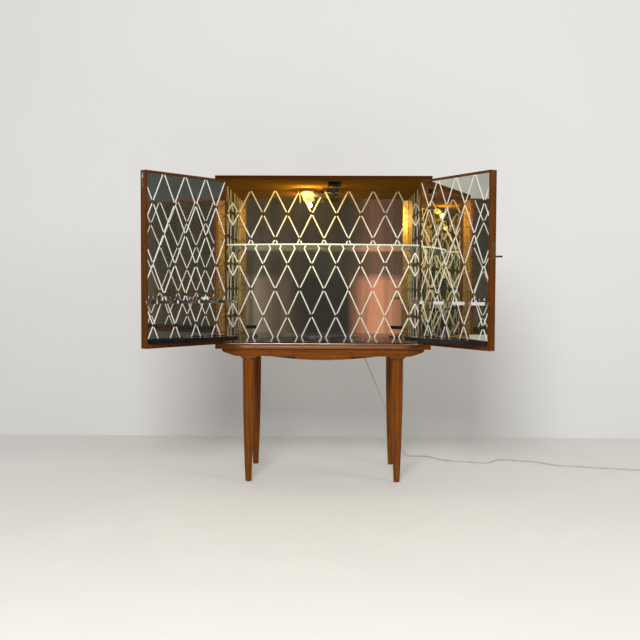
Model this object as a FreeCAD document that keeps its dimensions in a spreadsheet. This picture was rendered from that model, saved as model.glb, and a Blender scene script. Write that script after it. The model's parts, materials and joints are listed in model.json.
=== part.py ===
import FreeCAD, Part
import Sketcher
import math
import os

Vector = FreeCAD.Vector
Z_AXIS = Vector(0, 0, 1)
LEFT = 1
RIGHT = -1

# Driving sizes, in millimetres and degrees. Y runs back from the front plane of the case.
SIZES = (
    ("case_width", 850),
    ("case_depth", 395),
    ("case_height", 680),
    ("base_height", 42),
    ("top_thickness", 20),
    ("side_thickness", 25),
    ("bottom_thickness", 21),
    ("nose_flat", 3),
    ("nose_foot_round", 3),
    ("edge_round", 1.5),
    ("floor_thickness", 4),
    ("floor_setback", 30),
    ("mirror_thickness", 4),
    ("mirror_bevel", 1),
    ("back_setback", 16),
    ("side_mirror_setback", 40),
    ("glass_gap", 0.5),
    ("back_thickness", 8),
    ("back_rebate", 8),
    ("fit_gap", 0.3),
    ("left_open_angle", 129.56),
    ("right_open_angle", 122.67),
    ("door_gap", 3),
    ("door_end_gap", 1.5),
    ("door_panel_thickness", 22),
    ("bead_thickness", 6),
    ("bead_width", 8),
    ("door_band_height", 17.5),
    ("hinge_proud", 3.3),
    ("hinge_end_gap", 4),
    ("knuckle_radius", 3),
    ("knuckle_gap", 0.5),
    ("pin_radius", 1.45),
    ("pin_clearance", 0.05),
    ("leaf_thickness", 1.2),
    ("leaf_width", 26),
    ("tray_thickness", 16),
    ("tray_depth", 75),
    ("tray_end_depth", 3),
    ("tray_inset", 12),
    ("rail_height", 12),
    ("rail_rise", 127),
    ("rail_thickness", 2),
    ("rail_bulge", 8),
    ("rail_flange_length", 22),
    ("screw_head_radius", 2.8),
    ("screw_head_height", 1.6),
    ("screw_shank_radius", 1.4),
    ("screw_length", 14),
    ("screw_clearance", 0.05),
    ("screw_end_gap", 1),
    ("bead_screw_length", 9),
    ("shelf_height", 386),
    ("shelf_thickness", 6),
    ("shelf_side_setback", 112),
    ("shelf_centre_setback", 34),
    ("support_reach", 10),
    ("support_width", 12),
    ("support_drop", 15),
    ("support_thickness", 3),
    ("support_front_place", 150),
    ("support_rear_gap", 37),
    ("lock_rise", 354.5),
    ("lock_height", 60),
    ("lock_length", 29),
    ("lock_thickness", 12),
    ("lock_wall", 1.2),
    ("plate_thickness", 1.2),
    ("plate_width", 14),
    ("bolt_length", 22),
    ("bolt_height", 14),
    ("bolt_thickness", 6),
    ("bolt_rise", 2),
    ("bolt_throw", 10),
    ("bolt_clearance", 0.3),
    ("strike_depth", 10),
    ("key_inset", 17),
    ("key_drop", 20),
    ("key_shaft_radius", 2.5),
    ("key_clearance", 0.3),
    ("key_stand_off", 45),
    ("key_bow_radius", 11),
    ("key_bow_hole", 5.5),
    ("key_bow_thickness", 6),
    ("key_bit_length", 7),
    ("key_bit_thickness", 2),
    ("key_bit_width", 5),
    ("escutcheon_radius", 9),
    ("flush_plate_height", 62),
    ("flush_rod_side", 6),
    ("flush_rod_length", 54),
    ("flush_throw", 12),
    ("flush_thumb_height", 8),
    ("flush_thumb_width", 4),
    ("catch_width", 50),
    ("catch_depth", 19),
    ("catch_height", 20),
    ("catch_place", 18),
    ("catch_gap", 1),
    ("lamp_rear_gap", 107),
    ("lamp_drop", 25),
    ("bulb_radius", 13),
    ("bulb_length", 52),
    ("bulb_neck_radius", 8),
    ("socket_radius", 14),
    ("socket_length", 45),
    ("socket_end", 0),
    ("bracket_width", 20),
    ("bracket_length", 28),
    ("bracket_thickness", 2),
    ("switch_place", 12),
    ("switch_length", 50),
    ("switch_width", 30),
    ("switch_height", 18),
    ("rocker_length", 16),
    ("rocker_width", 10),
    ("rocker_height", 8),
    ("rocker_proud", 4),
    ("rocker_gap", 1.6),
    ("lead_radius", 2.4),
    ("lead_bend_radius", 12),
    ("grommet_place", 104),
    ("grommet_drop", 50),
    ("grommet_radius", 6),
    ("grommet_flange_radius", 9),
    ("grommet_flange_thickness", 3),
    ("grommet_proud", 6),
    ("cord_radius", 2.5),
    ("plug_length", 36),
    ("plug_width", 26),
    ("plug_height", 13),
    ("plug_pin_radius", 2),
    ("plug_pin_length", 19),
    ("plug_pin_spacing", 19),
    ("base_setback", 3),
    ("seam_inset", 214.6),
    ("base_rail_drop", 28),
    ("base_depth", 46),
    ("base_overhang", 26),
    ("wing_tip_drop", 2),
    ("wing_reach", 10),
    ("wing_drop", 13.5),
    ("cove_radius", 49),
    ("cove_height", 14),
    ("side_rail_thickness", 24),
    ("side_rail_height", 24),
    ("leg_inset", 129.5),
    ("leg_top_radius", 23),
    ("leg_middle_radius", 20.3),
    ("leg_foot_radius", 12),
    ("leg_height", 488),
    ("foot_round", 3),
    ("collar_height", 5),
    ("collar_step", 0.8),
    ("tenon_radius", 12),
    ("tenon_length", 12),
    ("tenon_clearance", 0.1),
    ("slide_seam_gap", 0.8),
    ("slide_top_gap", 0.6),
    ("slide_front_thickness", 22),
    ("slide_belly", 15.4),
    ("grip_half_width", 98),
    ("grip_splay", 24),
    ("grip_top_drop", 9.5),
    ("grip_depth", 6),
    ("leaf_bevel", 9),
    ("board_side_gap", 10.4),
    ("board_rear_gap", 17),
    ("board_thickness", 12),
    ("board_drop", 10),
    ("runner_thickness", 12),
    ("runner_gap", 1),
    ("runner_lip", 10),
    ("runner_lip_thickness", 4),
    ("stop_thickness", 12),
    ("stop_width", 40),
    ("stop_inset", 80),
    ("stop_gap", 1),
)

# Counts of repeated pieces.
KNUCKLES = 16
HINGE_SCREWS = 10
BACK_SCREWS = 6

# Where the bottle rail's bays meet, as shares of the tray's length and of its depth.
BAY_SHARES = ((0, 0.86), (0.25, 0.79), (0.5, 0.56), (0.75, 0.3), (0.985, 0.02))
TRAY_MIDDLE_SHARE = 0.7

# How the cove under a bracket runs between its ends, out and up.
COVE_SHARES = (0.25, 0.54)

# How a wing's rounded tip runs, in from the tip and down.
WING_SHARES = (0.36, 0.72)

# How far the middle of a quarter round lies from each side of its corner.
QUARTER_SHARE = 1 - math.sqrt(0.5)

# The bulb's glass, along its length and out to its radius, from near the tip to its widest.
BULB_SHARES = ((0.9, 0.62), (0.6, 1.0), (0.28, 0.93))

# Screws along the catch block and either side of the middle of the lamp's plate.
CATCH_SCREW_SHARES = (0.2, 0.8)
BRACKET_SCREW_SHARES = (-0.36, 0.36)

# The cord's route after the bush: X from the middle, Y from the front plane, Z from the floor.
CORD_ARC_SHARE = 0.45
CORD_ROUTE = (
    (-104, 400, 1140), (-101, 415, 1132), (-95, 424, 1113), (340, 502, 90), (352, 508, 55), (364, 517, 26),
    (380, 530, 8), (404, 538, 2.8), (440, 541, 2.8), (474, 532, 2.8), (496, 508, 2.8), (510, 480, 2.8),
    (533, 455, 2.8), (572, 434, 2.8), (618, 423, 2.8), (662, 403, 2.8), (706, 390, 2.8), (738, 402, 2.8),
    (756, 438, 2.8), (780, 466, 2.8), (814, 472, 2.8), (850, 458, 2.8), (890, 439, 2.8), (930, 428, 2.8),
    (962, 408, 2.8), (988, 375, 2.8), (1020, 350, 2.8), (1064, 341, 2.8), (1118, 325, 2.8), (1176, 306, 2.8),
    (1236, 295, 2.8), (1294, 276, 2.8), (1345, 267, 2.8), (1385, 262, 6.8), (1412, 259, 6.8),
)


class Measure:
    """A size with its value and the spreadsheet expression that gives it."""

    def __init__(self, value, text):
        self.value = value
        self.text = text

    def __float__(self):
        return float(self.value)

    def __add__(self, other):
        other = measured(other)
        return Measure(self.value + other.value, "(%s + %s)" % (self.text, other.text))

    def __radd__(self, other):
        return measured(other) + self

    def __sub__(self, other):
        other = measured(other)
        return Measure(self.value - other.value, "(%s - %s)" % (self.text, other.text))

    def __rsub__(self, other):
        return measured(other) - self

    def __mul__(self, other):
        other = measured(other)
        return Measure(self.value * other.value, "(%s * %s)" % (self.text, other.text))

    def __rmul__(self, other):
        return measured(other) * self

    def __truediv__(self, other):
        other = measured(other)
        return Measure(self.value / other.value, "(%s / %s)" % (self.text, other.text))

    def __neg__(self):
        return Measure(-self.value, "(0 - %s)" % self.text)


def measured(item):
    """Return a measure as it is, and a plain number as a measure."""
    if isinstance(item, Measure):
        return item
    return Measure(float(item), repr(float(item)))


def sine(angle):
    return Measure(math.sin(math.radians(angle.value)), "sin(%s)" % angle.text)


def cosine(angle):
    return Measure(math.cos(math.radians(angle.value)), "cos(%s)" % angle.text)


class Sizes:
    """The named sizes, read back from the spreadsheet."""

    def __init__(self, sheet):
        for name, value in SIZES:
            setattr(self, name, Measure(float(sheet.get(name)), "Sizes." + name))


document = FreeCAD.newDocument("bar_cabinet")
sheet = document.addObject("Spreadsheet::Sheet", "Sizes")
for row, (size_name, size_value) in enumerate(SIZES, start=1):
    sheet.set("A%d" % row, size_name)
    sheet.set("B%d" % row, str(size_value))
    sheet.setAlias("B%d" % row, size_name)
document.recompute()
size = Sizes(sheet)
sub_parts = []


# Places that several pieces share
case_underside = size.leg_height + size.base_height
case_top = case_underside + size.case_height
opening_half = size.case_width / 2 - size.side_thickness
ceiling = case_top - size.top_thickness
floor_base = case_underside + size.bottom_thickness
floor_top = floor_base + size.floor_thickness
shelf_level = floor_top + size.shelf_height
grommet_level = ceiling - size.grommet_drop
interior_depth = size.case_depth - size.back_setback - size.back_thickness - size.mirror_thickness
support_rear_place = interior_depth - size.support_rear_gap
back_front = interior_depth + size.mirror_thickness
back_rear = back_front + size.back_thickness
hinge_place = opening_half - size.door_gap / 2
hinge_half_gap = size.door_gap / 2
door_end = hinge_place - size.door_gap / 2
door_low = floor_base + size.door_end_gap
door_high = ceiling - size.door_end_gap
outer_face = size.hinge_proud
panel_back = outer_face + size.door_panel_thickness
bead_back = panel_back + size.bead_thickness
tray_low = door_low + size.door_band_height
tray_high = tray_low + size.tray_thickness
rail_level = tray_high + size.rail_rise
lock_level = door_low + size.lock_rise
bolt_level = lock_level + size.bolt_rise
key_level = lock_level - size.key_drop
tray_start = size.tray_inset
tray_end = door_end - size.tray_inset
lamp_setback = interior_depth - size.lamp_rear_gap
leg_spread = size.case_width / 2 - size.leg_inset
base_seam = size.case_width / 2 - size.seam_inset
board_half = base_seam - size.board_side_gap
stop_place = board_half - size.stop_inset
leg_setback = size.base_setback + size.base_depth / 2
rear_base_front = size.case_depth - size.base_setback - size.base_depth
rear_leg_setback = rear_base_front + size.base_depth / 2
base_rail_low = case_underside - size.base_rail_drop
# The front plane stands so far before the middle that the open doors and the case balance about it.
door_reach = (door_end * sine(size.right_open_angle) - bead_back * cosine(size.right_open_angle)
              + size.hinge_proud)
front = (door_reach - size.case_depth) / 2
axis_depth = front - size.hinge_proud


def register(item, node):
    """Name a finished sub-part."""
    item.Label = node
    sub_parts.append(item)
    return item


def set_place(item, place):
    """Bind the position of an object to the sheet."""
    for axis, measure in zip("xyz", place):
        item.setExpression("Placement.Base." + axis, measured(measure).text)


def on_door(item, side):
    """Put an object made in the door's own directions on its hinge axis, turned open."""
    angle = size.left_open_angle if side == LEFT else size.right_open_angle
    item.Placement = FreeCAD.Placement(Vector(), FreeCAD.Rotation(Z_AXIS, -side * float(angle)))
    item.setExpression("Placement.Rotation.Angle", "(%s) * 1 deg" % (angle * -side).text)
    set_place(item, (hinge_place * -side, front - size.hinge_proud, measured(0)))
    return item


def facing(side, low, high):
    """Return the range along X of a stretch along the left or right door."""
    return (low, high) if side == LEFT else (-high, -low)


def box(name, along, across, up):
    """Make a block between two places on each axis."""
    item = document.addObject("Part::Box", name)
    for prop, (low, high) in zip(("Length", "Width", "Height"), (along, across, up)):
        item.setExpression(prop, (measured(high) - low).text)
    set_place(item, (along[0], across[0], up[0]))
    return item


def cylinder(name, centre, radius, length, direction):
    """Make a round bar from a centre point along a direction."""
    item = document.addObject("Part::Cylinder", name)
    item.setExpression("Radius", measured(radius).text)
    item.setExpression("Height", measured(length).text)
    item.Placement = FreeCAD.Placement(Vector(), FreeCAD.Rotation(Z_AXIS, direction))
    set_place(item, centre)
    return item


def cut(name, base, *tools):
    """Take tools away from a base."""
    for number, tool in enumerate(tools):
        item = document.addObject("Part::Cut", "%s_cut_%d" % (name, number))
        item.Base = base
        item.Tool = tool
        base = item
    return base


def fuse(name, *pieces):
    """Join touching pieces into one solid."""
    item = document.addObject("Part::MultiFuse", name + "_joined")
    item.Shapes = list(pieces)
    item.Refine = True
    return item


def compound(name, *pieces):
    """Keep separate pieces of one kind together."""
    item = document.addObject("Part::Compound", name)
    item.Links = list(pieces)
    return item


def feature(name, shape):
    """Keep a shape worked out from the sheet as an object."""
    item = document.addObject("Part::Feature", name)
    item.Shape = shape
    return item


def point(along, up):
    return (measured(along), measured(up), False)


def bend(along, up):
    """A point that an arc of the outline passes through."""
    return (measured(along), measured(up), True)


def draw_outline(sketch, outline):
    """Draw a closed outline of lines and arcs and bind its corners to the sheet."""
    corners = [item for item in outline if not item[2]]
    segments = []
    for number, item in enumerate(outline):
        if item[2]:
            continue
        following = outline[(number + 1) % len(outline)]
        segments.append(following if following[2] else None)
    starts = []
    for number, corner in enumerate(corners):
        end = corners[(number + 1) % len(corners)]
        first = Vector(float(corner[0]), float(corner[1]), 0)
        last = Vector(float(end[0]), float(end[1]), 0)
        middle = segments[number]
        if middle is None:
            sketch.addGeometry(Part.LineSegment(first, last), False)
            starts.append((1, 2))
            continue
        through = Vector(float(middle[0]), float(middle[1]), 0)
        if (through - first).cross(last - through).z > 0:
            sketch.addGeometry(Part.ArcOfCircle(first, through, last), False)
            starts.append((1, 2))
        else:
            sketch.addGeometry(Part.ArcOfCircle(last, through, first), False)
            starts.append((2, 1))
    count = len(corners)
    for number in range(count):
        following = (number + 1) % count
        sketch.addConstraint(Sketcher.Constraint("Coincident", number, starts[number][1],
                                                 following, starts[following][0]))
    for number, corner in enumerate(corners):
        for kind, measure in (("DistanceX", corner[0]), ("DistanceY", corner[1])):
            index = sketch.addConstraint(Sketcher.Constraint(kind, -1, 1, number, starts[number][0],
                                                             float(measure)))
            sketch.setExpression("Constraints[%d]" % index, measure.text)


def sketch_on(body, name, role, offset):
    """Attach a sketch to one of the body's own planes, moved along its normal."""
    plane = [item for item in body.Origin.OriginFeatures if item.Role == role][0]
    sketch = body.newObject("Sketcher::SketchObject", name)
    sketch.AttachmentSupport = [(plane, "")]
    sketch.MapMode = "FlatFace"
    sketch.setExpression("AttachmentOffset.Base.z", measured(offset).text)
    return sketch


def pad(name, role, outline, low, high):
    """Pad an outline between two places along the normal of a plane."""
    body = document.addObject("PartDesign::Body", name)
    low, high = measured(low), measured(high)
    offset = -high if role == "XZ_Plane" else low
    sketch = sketch_on(body, name + "_outline", role, offset)
    draw_outline(sketch, outline)
    document.recompute()
    raised = body.newObject("PartDesign::Pad", name + "_pad")
    raised.Profile = sketch
    raised.setExpression("Length", (high - low).text)
    document.recompute()
    return body


def turned(name, outline, place):
    """Turn an outline of radius and height about the upright axis at a place."""
    body = document.addObject("PartDesign::Body", name)
    sketch = sketch_on(body, name + "_profile", "XZ_Plane", 0)
    draw_outline(sketch, outline)
    document.recompute()
    revolved = body.newObject("PartDesign::Revolution", name + "_turned")
    revolved.Profile = sketch
    revolved.ReferenceAxis = (sketch, ["V_Axis"])
    revolved.Angle = 360
    set_place(body, place)
    document.recompute()
    return body


def rectangle(along, up):
    return [point(along[0], up[0]), point(along[1], up[0]), point(along[1], up[1]), point(along[0], up[1])]


def bevel_edges(body, amount, chosen):
    """Chamfer the edges of a body that a test chooses."""
    solid = body.Tip
    names = ["Edge%d" % (number + 1) for number, edge in enumerate(solid.Shape.Edges) if chosen(edge)]
    bevel = body.newObject("PartDesign::Chamfer", body.Name + "_bevel")
    bevel.Base = (solid, names)
    bevel.setExpression("Size", amount.text)
    document.recompute()
    return body


def round_edges(body, amount, chosen):
    """Fillet the edges of a body that a test chooses."""
    solid = body.Tip
    names = ["Edge%d" % (number + 1) for number, edge in enumerate(solid.Shape.Edges) if chosen(edge)]
    rounding = body.newObject("PartDesign::Fillet", body.Name + "_round")
    rounding.Base = (solid, names)
    rounding.setExpression("Radius", amount.text)
    document.recompute()
    return body


def lies_at(edge, axis, place):
    """Tell whether both ends of an edge lie at a place on an axis."""
    return all(abs(getattr(vertex.Point, axis) - float(place)) < float(size.fit_gap) / 10
               for vertex in edge.Vertexes)


def screw_shape(head, direction, length, clearance=0.0):
    """A countersunk screw, or the hole for it when it has a clearance."""
    loose = float(clearance)
    wide = float(size.screw_head_radius) + loose
    narrow = float(size.screw_shank_radius) + loose
    sunk = float(size.screw_head_height)
    deep = float(length) + (float(size.screw_end_gap) if loose else 0)
    cone = Part.makeCone(wide, narrow, sunk, head, direction)
    shank = Part.makeCylinder(narrow, deep, head, direction)
    return cone.fuse(shank).removeSplitter()


def screws(name, heads, direction, length=None):
    """Make a group of screws and the tool for their holes."""
    length = length or size.screw_length
    group = feature(name, Part.makeCompound([screw_shape(head, direction, length) for head in heads]))
    holes = feature(name + "_holes", Part.makeCompound(
        [screw_shape(head, direction, length, size.screw_clearance) for head in heads]))
    return group, holes


def between(low, high, count):
    """Places evenly spaced between two ends, half a step in from each."""
    step = (float(high) - float(low)) / count
    return [float(low) + step * (number + 0.5) for number in range(count)]


# Case

def make_top_panel():
    """Top board with eased upper edges and a blind socket for the flush bolt."""
    board = pad("top_board", "XY_Plane",
                rectangle((-size.case_width / 2, size.case_width / 2), (front, front + size.case_depth)),
                ceiling, case_top)
    round_edges(board, size.edge_round, lambda edge: lies_at(edge, "z", case_top))
    socket = box("flush_bolt_socket",
                 (rod_near - hinge_place - size.bolt_clearance, rod_far - hinge_place + size.bolt_clearance),
                 (axis_depth + door_middle - rod_half - size.bolt_clearance,
                  axis_depth + door_middle + rod_half + size.bolt_clearance),
                 (ceiling, ceiling + size.flush_throw))
    return register(cut("top_panel", board, socket, ceiling_holes), "top_panel")


def make_bottom_panel():
    """Bottom board between the sides, with a nose rounded from the floor down to a small foot round."""
    foot = size.nose_foot_round
    nose = size.bottom_thickness - size.nose_flat - foot
    outline = [point(front + foot, case_underside), point(front + size.case_depth, case_underside),
               point(front + size.case_depth, floor_base), point(front + nose, floor_base),
               bend(front + nose * QUARTER_SHARE, floor_base - nose * QUARTER_SHARE),
               point(front, floor_base - nose), point(front, case_underside + foot),
               bend(front + foot * QUARTER_SHARE, case_underside + foot * QUARTER_SHARE)]
    return register(pad("bottom_panel", "YZ_Plane", outline, -opening_half, opening_half), "bottom_panel")


def make_side_panel(side, word):
    """Side board with a rebate for the back and pilot holes for its screws."""
    inner = opening_half * -side
    outer = size.case_width / 2 * -side
    rebate = (opening_half + size.back_rebate) * -side
    shoulder = front + back_front
    rear = front + size.case_depth
    outline = [point(outer, front), point(inner, front), point(inner, shoulder), point(rebate, shoulder),
               point(rebate, rear), point(outer, rear)]
    board = pad(word + "_side_board", "XY_Plane", outline, case_underside, ceiling)
    round_edges(board, size.edge_round, lambda edge: lies_at(edge, "x", outer) and lies_at(edge, "y", front))
    return register(cut(word + "_side_panel", board, case_hinge_holes, back_holes), word + "_side_panel")


def make_back_panel():
    """Thin back board in the rebates, with a hole for the cord's bush."""
    reach = opening_half + size.back_rebate - size.fit_gap
    board = box("back_board", (-reach, reach), (front + back_front, front + back_rear), (floor_base, ceiling))
    hole = cylinder("bush_hole", (-size.grommet_place, front + back_front, grommet_level),
                    size.grommet_radius, size.back_thickness, Vector(0, 1, 0))
    return register(cut("back_panel", board, hole, back_holes), "back_panel")


def make_inner_floor():
    reach = opening_half - size.glass_gap
    outline = rectangle((-reach, reach), (front + size.floor_setback, front + interior_depth - size.glass_gap))
    return register(pad("inner_floor", "XY_Plane", outline, floor_base, floor_top), "inner_floor")


def make_back_mirror():
    """Mirror against the back board, bevelled, with a hole for the lamp's lead."""
    reach = opening_half - size.glass_gap
    glass = pad("back_glass", "XZ_Plane", rectangle((-reach, reach), (floor_base + size.glass_gap,
                                                                      ceiling - size.glass_gap)),
                front + interior_depth, front + back_front)
    bevel_edges(glass, size.mirror_bevel, lambda edge: lies_at(edge, "y", front + interior_depth))
    hole = cylinder("lead_hole", (-size.grommet_place, front + interior_depth, grommet_level),
                    size.lead_radius + size.fit_gap * 2, size.mirror_thickness, Vector(0, 1, 0))
    return register(cut("back_mirror", glass, hole), "back_mirror")


def make_side_mirror(side, word):
    """Mirror on the inside of a side board, standing on the inner floor."""
    outer = opening_half * -side
    inner = (opening_half - size.mirror_thickness) * -side
    low, high = sorted((outer, inner), key=float)
    glass = pad(word + "_side_mirror", "YZ_Plane",
                rectangle((front + size.side_mirror_setback, front + interior_depth - size.glass_gap),
                          (floor_top, ceiling - size.glass_gap)), low, high)
    bevel_edges(glass, size.mirror_bevel, lambda edge: lies_at(edge, "x", inner))
    return register(glass, word + "_side_mirror")


def make_glass_shelf():
    """Glass shelf with a bowed front."""
    reach = opening_half - size.mirror_thickness - size.glass_gap
    rear = front + interior_depth - size.glass_gap
    outline = [point(-reach, rear), point(-reach, front + size.shelf_side_setback),
               bend(0, front + size.shelf_centre_setback), point(reach, front + size.shelf_side_setback),
               point(reach, rear)]
    return register(pad("glass_shelf", "XY_Plane", outline, shelf_level,
                        shelf_level + size.shelf_thickness), "glass_shelf")


def make_shelf_supports():
    """Four angle supports, two on each side mirror, under the glass shelf."""
    wall = opening_half - size.mirror_thickness
    supports = []
    for side, word in ((LEFT, "left"), (RIGHT, "right")):
        for place, row in ((size.support_front_place, "front"), (support_rear_place, "rear")):
            across = (front + place, front + place + size.support_width)
            name = "%s_%s_support" % (word, row)
            ledge = box(name + "_ledge", facing(side, -wall, size.support_reach - wall), across,
                        (shelf_level - size.support_thickness, shelf_level))
            stem = box(name + "_stem", facing(side, -wall, size.support_thickness - wall), across,
                       (shelf_level - size.support_drop, shelf_level))
            supports.append(fuse(name, ledge, stem))
    return register(compound("shelf_supports", *supports), "shelf_supports")


# Doors, drawn closed from the hinge axis: X runs along the door and Y into the case

def make_door_panel(side, word, *tools):
    body = pad(word + "_door_board", "XY_Plane",
               rectangle(facing(side, hinge_half_gap, door_end), (outer_face, panel_back)),
               door_low, door_high)
    return register(on_door(cut(word + "_door_panel", body, *tools), side), word + "_door_panel")


def make_door_bead(side, word, holes):
    """Raised wooden frame on the inside of a door, wider at its foot."""
    frame = pad(word + "_bead_board", "XZ_Plane",
                rectangle(facing(side, hinge_half_gap, door_end), (door_low, door_high)),
                panel_back, bead_back)
    window = box(word + "_bead_window",
                 facing(side, hinge_half_gap + size.bead_width, door_end - size.bead_width),
                 (panel_back - size.fit_gap, bead_back + size.fit_gap),
                 (tray_low, door_high - size.bead_width))
    return register(on_door(cut(word + "_door_bead", frame, window, holes), side), word + "_door_bead")


def make_door_mirror(side, word):
    inset = hinge_half_gap + size.bead_width + size.fit_gap
    face = panel_back + size.mirror_thickness
    glass = pad(word + "_door_mirror", "XZ_Plane",
                rectangle(facing(side, inset, door_end - size.bead_width - size.fit_gap),
                          (tray_high + size.fit_gap, door_high - size.bead_width - size.fit_gap)),
                panel_back, face)
    bevel_edges(glass, size.mirror_bevel, lambda edge: lies_at(edge, "y", face))
    return register(on_door(glass, side), word + "_door_mirror")


def make_door_tray(side, word):
    """Bottle tray at the foot of a door, deep at the hinge and narrow at the free edge."""
    middle = (tray_start + tray_end) / 2 * side
    outline = [point(tray_start * side, panel_back), point(tray_start * side, bead_back + size.tray_depth),
               bend(middle, bead_back + size.tray_depth * TRAY_MIDDLE_SHARE),
               point(tray_end * side, bead_back + size.tray_end_depth), point(tray_end * side, panel_back)]
    tray = pad(word + "_door_tray", "XY_Plane", outline, tray_low, tray_high)
    corner = bead_back + size.tray_depth
    round_edges(tray, size.edge_round, lambda edge: lies_at(edge, "x", tray_start * side)
                and lies_at(edge, "y", corner))
    return register(on_door(tray, side), word + "_door_tray")


def thick_arc(first, through, last, thickness):
    """Face between an arc and the same arc moved towards its centre."""
    circle = Part.Arc(first, through, last).toShape().Curve
    middle = circle.Center

    def inward(place):
        spoke = place - middle
        return middle + spoke * ((circle.Radius - thickness) / circle.Radius)

    edges = [Part.Arc(first, through, last).toShape(),
             Part.LineSegment(last, inward(last)).toShape(),
             Part.Arc(inward(last), inward(through), inward(first)).toShape(),
             Part.LineSegment(inward(first), first).toShape()]
    return Part.Face(Part.Wire(edges))


def make_bottle_rail(side, word):
    """Bright strip with four bays that hold the bottles on the tray."""
    low = float(rail_level)
    height = float(size.rail_height)
    thickness = float(size.rail_thickness)
    seat = float(bead_back)
    meets = [Vector(side * (float(tray_start) + along * float(tray_end - tray_start)),
                    seat + deep * float(size.tray_depth), low) for along, deep in BAY_SHARES]
    strips = []
    for first, last in zip(meets, meets[1:]):
        chord = last - first
        outward = Vector(-chord.y, chord.x, 0) * side
        outward.normalize()
        through = (first + last) / 2 + outward * float(size.rail_bulge)
        strips.append(thick_arc(first, through, last, thickness).extrude(Z_AXIS * height))
    start = float(hinge_half_gap + size.fit_gap)
    strut_far = meets[0].x * side + thickness
    finish = float(door_end - size.fit_gap)

    def slab(low_along, high_along, low_across, high_across):
        corner = Vector(min(low_along * side, high_along * side), low_across, low)
        return Part.makeBox(high_along - low_along, high_across - low_across, height, corner)

    strips.append(slab(strut_far - thickness, strut_far, seat, meets[0].y))
    strips.append(slab(start, strut_far, seat, seat + thickness))
    strips.append(slab(finish - float(size.rail_flange_length), finish, seat, seat + thickness))
    strip = strips[0].multiFuse(strips[1:]).removeSplitter()
    holes = rail_holes[side]
    rail = feature(word + "_rail_strip", strip)
    return register(on_door(cut(word + "_bottle_rail", rail, holes), side), word + "_bottle_rail")


def rail_screw_heads(side):
    seat = bead_back + size.rail_thickness
    level = rail_level + size.rail_height / 2
    places = (hinge_half_gap + size.bead_width / 2, door_end - size.bead_width / 2)
    return [Vector(side * float(place), float(seat), float(level)) for place in places]


def hinge_levels():
    low = door_low + size.hinge_end_gap
    high = door_high - size.hinge_end_gap
    return low, high


def make_hinge_leaf(side, word, half):
    """One leaf of a piano hinge: its plate, its own knuckles and the pin's bore."""
    low, high = hinge_levels()
    pitch = (high - low) / KNUCKLES
    if half == "case":
        along = (-hinge_half_gap, size.leaf_thickness - hinge_half_gap)
    else:
        along = (hinge_half_gap - size.leaf_thickness, hinge_half_gap)
    name = "%s_hinge_%s_leaf" % (word, half)
    own = 0 if half == "case" else 1
    pieces = [box(name + "_plate", facing(side, *along),
                  (outer_face + size.fit_gap, outer_face + size.leaf_width), (low, high))]
    for number in range(own, KNUCKLES, 2):
        start = low + pitch * number + size.knuckle_gap / 2
        finish = low + pitch * (number + 1) - size.knuckle_gap / 2
        pieces.append(box("%s_tongue_%d" % (name, number), facing(side, *along),
                          (measured(0), outer_face + size.fit_gap * 2), (start, finish)))
        pieces.append(cylinder("%s_knuckle_%d" % (name, number), (measured(0), measured(0), start),
                               size.knuckle_radius, finish - start, Z_AXIS))
    bore = cylinder(name + "_bore", (measured(0), measured(0), low), size.pin_radius + size.pin_clearance,
                    high - low, Z_AXIS)
    holes = case_leaf_holes[side] if half == "case" else door_leaf_holes[side]
    leaf = cut(name, fuse(name, *pieces), bore, holes)
    if half == "door":
        on_door(leaf, side)
    else:
        set_place(leaf, (hinge_place * -side, front - size.hinge_proud, measured(0)))
    return register(leaf, name)


def make_hinge_pins():
    low, high = hinge_levels()
    pins = [cylinder(word + "_hinge_pin", (hinge_place * -side, axis_depth, low), size.pin_radius,
                     high - low, Z_AXIS) for side, word in SIDES]
    return register(compound("hinge_pins", *pins), "hinge_pins")


def hinge_screw_heads(side, half):
    """Places of a leaf's screw heads, measured from the hinge axis."""
    low, high = hinge_levels()
    face = hinge_half_gap - size.leaf_thickness
    along = -face if half == "case" else face
    across = outer_face + size.leaf_width / 2
    return [Vector(side * float(along), float(across), level) for level in between(low, high, HINGE_SCREWS)]


# Lock, key and flush bolt

def make_lock_case():
    """Mortise lock: a thin hollow case in the free edge of the right door."""
    outer = box("lock_shell", facing(RIGHT, lock_near, lock_far), lock_across, lock_up)
    hollow = box("lock_hollow", facing(RIGHT, lock_near + size.lock_wall, lock_far),
                 (lock_across[0] + size.lock_wall, lock_across[1] - size.lock_wall),
                 (lock_up[0] + size.lock_wall, lock_up[1] - size.lock_wall))
    return register(on_door(cut("lock_case", outer, hollow, key_hole("lock_key_hole")), RIGHT), "lock_case")


def key_hole(name):
    """Round way for the key, from in front of the door into the lock."""
    return cylinder(name, (-key_along, outer_face - size.plate_thickness, key_level),
                    size.key_shaft_radius + size.key_clearance,
                    lock_across[1] - outer_face - size.lock_wall, Vector(0, 1, 0))


def make_lock_face_plate():
    plate = box("lock_plate_blank", facing(RIGHT, lock_far, door_end), plate_across, lock_up)
    slot = box("lock_plate_slot", facing(RIGHT, lock_far, door_end),
               (door_middle - size.bolt_thickness / 2 - size.bolt_clearance,
                door_middle + size.bolt_thickness / 2 + size.bolt_clearance),
               (bolt_level - size.bolt_height / 2 - size.bolt_clearance,
                bolt_level + size.bolt_height / 2 + size.bolt_clearance))
    return register(on_door(cut("lock_face_plate", plate, slot), RIGHT), "lock_face_plate")


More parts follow.
